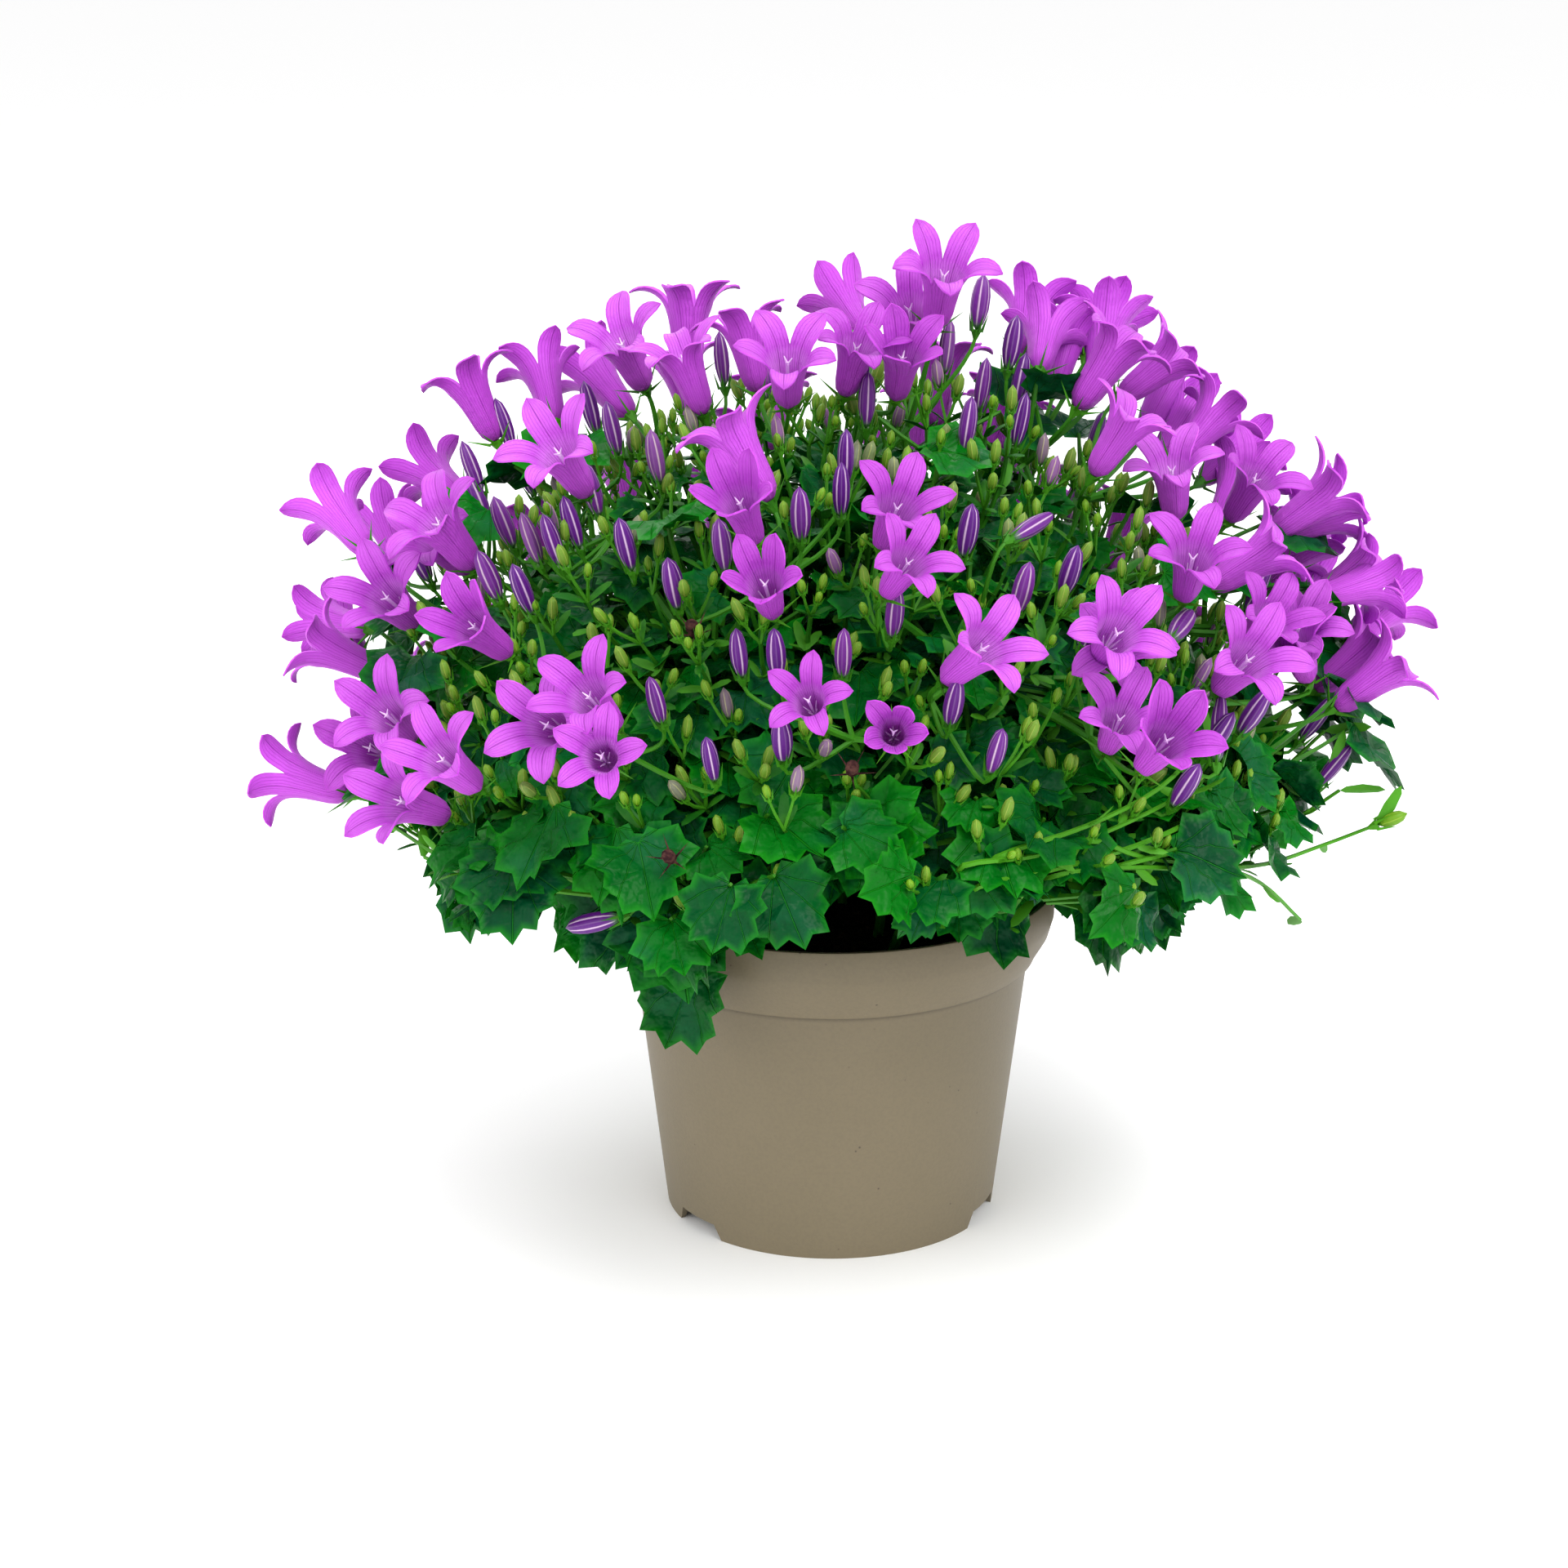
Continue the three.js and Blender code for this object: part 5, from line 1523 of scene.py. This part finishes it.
def inner_radius(height):
    """Radius of the inside of the pot's wall at a height."""
    radii, heights = zip((BASE_RADIUS, 0), (SHOULDER_RADIUS - CREASE, SHOULDER_HEIGHT + 0.3),
                         *BAND_BENDS, (RIM_RADIUS, STRAIGHT_HEIGHT))
    return np.interp(height, heights, radii) - WALL


def soil_height(x, y):
    """Height of the lumpy soil, highest in the middle."""
    top = mix(SOIL_MIDDLE, SOIL_EDGE, (x * x + y * y) / SOIL_RADIUS ** 2)
    wide = 0.8 * math.sin(0.31 * x + 0.7) * math.cos(0.27 * y - 0.4)
    return top + wide + 0.5 * math.sin(0.9 * x) * math.sin(1.1 * y)


def soil_point(p):
    """Where a point of a ball one unit in radius goes on the block of soil."""
    flat = math.hypot(p.x, p.y)
    way = Vector((p.x, p.y, 0)).normalized() if flat > 1e-5 else Vector()
    if p.z > -0.01:
        reach = SOIL_RADIUS * flat
        return Vector((way.x * reach, way.y * reach, soil_height(way.x * reach, way.y * reach)))
    height = mix(SOIL_EDGE - 1.5, SOIL_FOOT, min(1, -p.z * 1.5))
    reach = (inner_radius(height) - 0.4) * min(1, flat * 1.35)
    return Vector((way.x * reach, way.y * reach, height))


# Settings


Colour = partial(FloatVectorProperty, subtype="COLOR", min=0, max=1)
Length = partial(FloatProperty, unit="LENGTH")


class PotSettings(bpy.types.PropertyGroup):
    """The nursery pot."""

    pot_colour: Colour(
        name="Plastic", description="Colour of the moulded plastic", default=linear("#756A53")[:3],
    )
    crumb_count: IntProperty(
        name="Crumbs", description="Peat crumbs on the soil", default=900, min=0,
    )


class BloomSettings(bpy.types.PropertyGroup):
    """Bells and purple buds."""

    petal_colour: Colour(
        name="Petal", description="Colour of a petal in full light", default=linear("#C759DA")[:3],
    )
    petal_deep_colour: Colour(
        name="Petal veins", description="Colour of veins and tips", default=linear("#8F0AA0")[:3],
    )
    bud_length: Length(
        name="Bud length", description="Length of a purple bud", default=15 * MM,
    )
    bud_width: Length(
        name="Bud width", description="Width of a purple bud", default=5.2 * MM,
    )


class FoliageSettings(bpy.types.PropertyGroup):
    """Leaves, stalks and young buds."""

    leaf_length: Length(
        name="Leaf length", description="Length of a full leaf", default=19 * MM,
    )
    leaf_count: IntProperty(
        name="Leaves", description="Leaves in the outer layer of the crown", default=380, min=0,
    )
    shoot_count: IntProperty(
        name="Shoots", description="Thin flowering shoots all over the crown", default=320, min=0,
    )
    leaf_colour: Colour(
        name="Leaf", description="Colour of a fresh leaf", default=linear("#00640C")[:3],
    )
    # Dark leaf colour, which the deeper layers of leaves lean to as painted shade.
    leaf_deep_colour: Colour(
        name="Old leaf", description="Colour of an old leaf", default=linear("#003A20")[:3],
    )
    # Pale colour of veins and teeth; at the teeth it is partly a painted highlight.
    leaf_edge_colour: Colour(
        name="Leaf edge", description="Colour of teeth and veins", default=linear("#22920F")[:3],
    )


class StageSettings(bpy.types.PropertyGroup):
    """Floor and studio light."""

    floor_colour: Colour(
        name="Floor", description="Colour of the floor", default=(0.97, 0.97, 0.97),
    )
    key_power: FloatProperty(
        name="Key light", description="Power of the main light", default=24.0, subtype="POWER",
    )


# Operators


class BELLFLOWER_OT_pot(bpy.types.Operator):
    """Builds the nursery pot with its band, foot notches and drain holes"""

    bl_idname = "bellflower.pot"
    bl_label = "Nursery pot"

    def execute(self, context):
        deselect()
        profile = pot_profile()
        bpy.ops.mesh.primitive_circle_add(vertices=POT_SIDES, radius=profile[0][0] * MM)
        pot = bpy.context.object
        pot.name = pot.data.name = "nursery_pot"
        edit(pot)
        bpy.ops.transform.translate(value=(0, 0, profile[0][1] * MM))
        for (radius, height), (next_radius, next_height) in zip(profile, profile[1:]):
            bpy.ops.mesh.extrude_region_move(
                TRANSFORM_OT_translate={"value": (0, 0, (next_height - height) * MM)},
            )
            ratio = next_radius / radius
            bpy.ops.transform.resize(value=(ratio, ratio, 1), center_override=(0, 0, 0))
        bpy.ops.mesh.select_all(action="SELECT")
        bpy.ops.mesh.fill_holes(sides=0)
        face_outwards(pot)
        blocks = [notch_block(degrees) for degrees in NOTCH_TURNS]
        blocks += [drain_block(degrees) for degrees in DRAIN_TURNS]
        for block in blocks:
            apply_modifier(pot, "BOOLEAN", object=block, operation="DIFFERENCE", solver="EXACT")
            bpy.data.objects.remove(block)
        pot.data.materials.append(pot_material(context.scene.bellflower_pot))
        smooth(pot, POT_CREASE)
        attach(pot, "root")
        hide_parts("pot")
        return {"FINISHED"}


class BELLFLOWER_OT_soil(bpy.types.Operator):
    """Builds the peat that fills the pot, with loose crumbs on it"""

    bl_idname = "bellflower.soil"
    bl_label = "Soil"

    def execute(self, context):
        bunch = Bunch()
        ball = shaped(bpy.ops.mesh.primitive_uv_sphere_add, soil_point, radius=1, **SOIL_GROUND)
        ground = Pattern(ball)
        bunch.add(ground, ground.points, 0)
        deselect()
        bpy.ops.mesh.primitive_ico_sphere_add(subdivisions=1, radius=1)
        crumb = Pattern(bpy.context.object)
        for i in range(context.scene.bellflower_pot.crumb_count):
            seed = CRUMB_SEED + 7 * i
            reach = (SOIL_RADIUS - 1.5) * math.sqrt(chance(seed))
            turn = spread(seed + 1, 0, 2 * math.pi)
            top = mix(SOIL_MIDDLE, SOIL_EDGE, (reach / SOIL_RADIUS) ** 2)
            size = spread(seed + 2, 0.5, 1.8)
            u, v = across_axis(bearing(spread(seed + 3, 0, 6), spread(seed + 4, -1, 1)), 0)
            place = Vector((reach * math.cos(turn), reach * math.sin(turn), top + 0.2))
            scale = (size, size * spread(seed + 5, 0.5, 1), size * spread(seed + 6, 0.4, 0.9))
            bunch.put(crumb, place, (u, v, u.cross(v)), scale, chance(seed + 4))
        piece = bunch.build("potting_soil_crumbs", [soil_material()])
        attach(piece, "root")
        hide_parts("soil")
        return {"FINISHED"}


class BELLFLOWER_OT_leafy_stems(bpy.types.Operator):
    """Builds the leafy stems with their leaves, flowering shoots and young buds"""

    bl_idname = "bellflower.leafy_stems"
    bl_label = "Leafy stems"

    def execute(self, context):
        foliage = context.scene.bellflower_foliage
        full = foliage.leaf_length / MM
        plan = Plan()
        shapes = model_shapes()
        for head in plan.heads:
            bend = head.foot * 1.1
            bend.z = STEM_BEND_HEIGHT
            head.bunch.stalk(head.foot, bend, head.hub, STEM, 0.2, sides=6)
        for spray in plan.sprays:
            start = spray.head.hub
            bend = start.lerp(spray.hub, 0.5) + spray.head.out * 3
            spray.head.bunch.stalk(start, bend, spray.hub, SPRAY_STALK, 0.3, sides=6)
        add_rim_leaves(plan.heads, shapes, full)
        add_leaf_layers(plan, shapes, full, foliage.leaf_count)
        add_shoots(plan, shapes, foliage.shoot_count)
        add_trailing_stems(plan.heads, shapes)
        add_outer_leaves(plan.heads, shapes, full)
        add_withered_blooms(plan.heads, shapes)
        finishes = [leaf_material(foliage), stalk_material(), bud_material(), withered_material()]
        for head in plan.heads:
            piece = head.bunch.build(f"foliage_{head.number:02d}", finishes)
            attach(piece, "root")
            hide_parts(f"leafy_stem_{head.number:02d}")
        return {"FINISHED"}


class BELLFLOWER_OT_flower_sprays(bpy.types.Operator):
    """Builds the sprays with their bells, purple buds and stalks"""

    bl_idname = "bellflower.flower_sprays"
    bl_label = "Flower sprays"

    def execute(self, context):
        blooms = context.scene.bellflower_blooms
        sprays = Plan().sprays
        shapes = model_shapes()
        for spray in sprays:
            add_bells(spray, shapes)
        add_purple_buds(sprays, shapes, blooms)
        add_leaning_buds(sprays, shapes, blooms)
        finishes = [petal_material(blooms, False), petal_material(blooms, True), bud_material(),
                    stalk_material(), style_material()]
        for spray in sprays:
            piece = spray.bunch.build(f"bellflowers_{spray.number:02d}", finishes)
            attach(piece, "root")
            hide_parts(f"flower_spray_{spray.number:02d}")
        return {"FINISHED"}


class BELLFLOWER_OT_stage(bpy.types.Operator):
    """Sets the floor, the soft studio light and the camera"""

    bl_idname = "bellflower.stage"
    bl_label = "Stage"

    def execute(self, context):
        settings = context.scene.bellflower_stage
        deselect()
        bpy.ops.mesh.primitive_plane_add(size=FLOOR_SIZE)
        floor = bpy.context.object
        floor.name = "studio_floor"
        floor.data.materials.append(new_material("pale_floor", {
            "Roughness": 0.85, "Specular IOR Level": 0.2,
            "Base Color": linear_of(settings.floor_colour),
        })[0])
        for name, place, size, share in LIGHTS:
            bpy.ops.object.light_add(type="AREA", location=place)
            lamp = bpy.context.object
            lamp.name = name
            lamp.data.size = size
            lamp.data.energy = settings.key_power * share
            aim = LIT_PLACE - Vector(place)
            lamp.rotation_euler = aim.to_track_quat("-Z", "Y").to_euler()
        world = bpy.data.worlds.new("studio")
        world.use_nodes = True
        background = world.node_tree.nodes["Background"]
        background.inputs["Color"].default_value = (1, 1, 1, 1)
        background.inputs["Strength"].default_value = 1.0
        context.scene.world = world
        context.scene.view_settings.view_transform = "Standard"
        bpy.ops.object.camera_add(location=EYE * MM, rotation=(math.pi / 2 - PITCH, 0, 0))
        camera = bpy.context.object
        camera.data.lens = FOCAL / PICTURE * SENSOR
        camera.data.sensor_width = SENSOR
        context.scene.camera = camera
        return {"FINISHED"}


class BELLFLOWER_PT_panel(bpy.types.Panel):
    """The pieces of the potted bellflower"""

    bl_idname = "BELLFLOWER_PT_panel"
    bl_label = "Potted bellflower"
    bl_space_type = "VIEW_3D"
    bl_region_type = "UI"
    bl_category = "Bellflower"

    def draw(self, context):
        for group in SETTINGS:
            settings = getattr(context.scene, group)
            box = self.layout.box()
            for name in settings.__annotations__:
                box.prop(settings, name)
        for operator in OPERATORS:
            self.layout.operator(operator.bl_idname)


SETTINGS = {
    "bellflower_pot": PotSettings,
    "bellflower_blooms": BloomSettings,
    "bellflower_foliage": FoliageSettings,
    "bellflower_stage": StageSettings,
}
OPERATORS = (
    BELLFLOWER_OT_pot, BELLFLOWER_OT_soil, BELLFLOWER_OT_leafy_stems, BELLFLOWER_OT_flower_sprays,
    BELLFLOWER_OT_stage,
)


def register():
    for kind in (*SETTINGS.values(), *OPERATORS, BELLFLOWER_PT_panel):
        bpy.utils.register_class(kind)
    for name, kind in SETTINGS.items():
        setattr(bpy.types.Scene, name, PointerProperty(type=kind))


def unregister():
    for name in SETTINGS:
        delattr(bpy.types.Scene, name)
    for kind in (BELLFLOWER_PT_panel, *reversed(OPERATORS), *reversed(list(SETTINGS.values()))):
        bpy.utils.unregister_class(kind)


def main():
    register()
    bpy.ops.bellflower.pot()
    bpy.ops.bellflower.soil()
    bpy.ops.bellflower.leafy_stems()
    bpy.ops.bellflower.flower_sprays()
    bpy.ops.bellflower.stage()


if __name__ == "__main__":
    main()
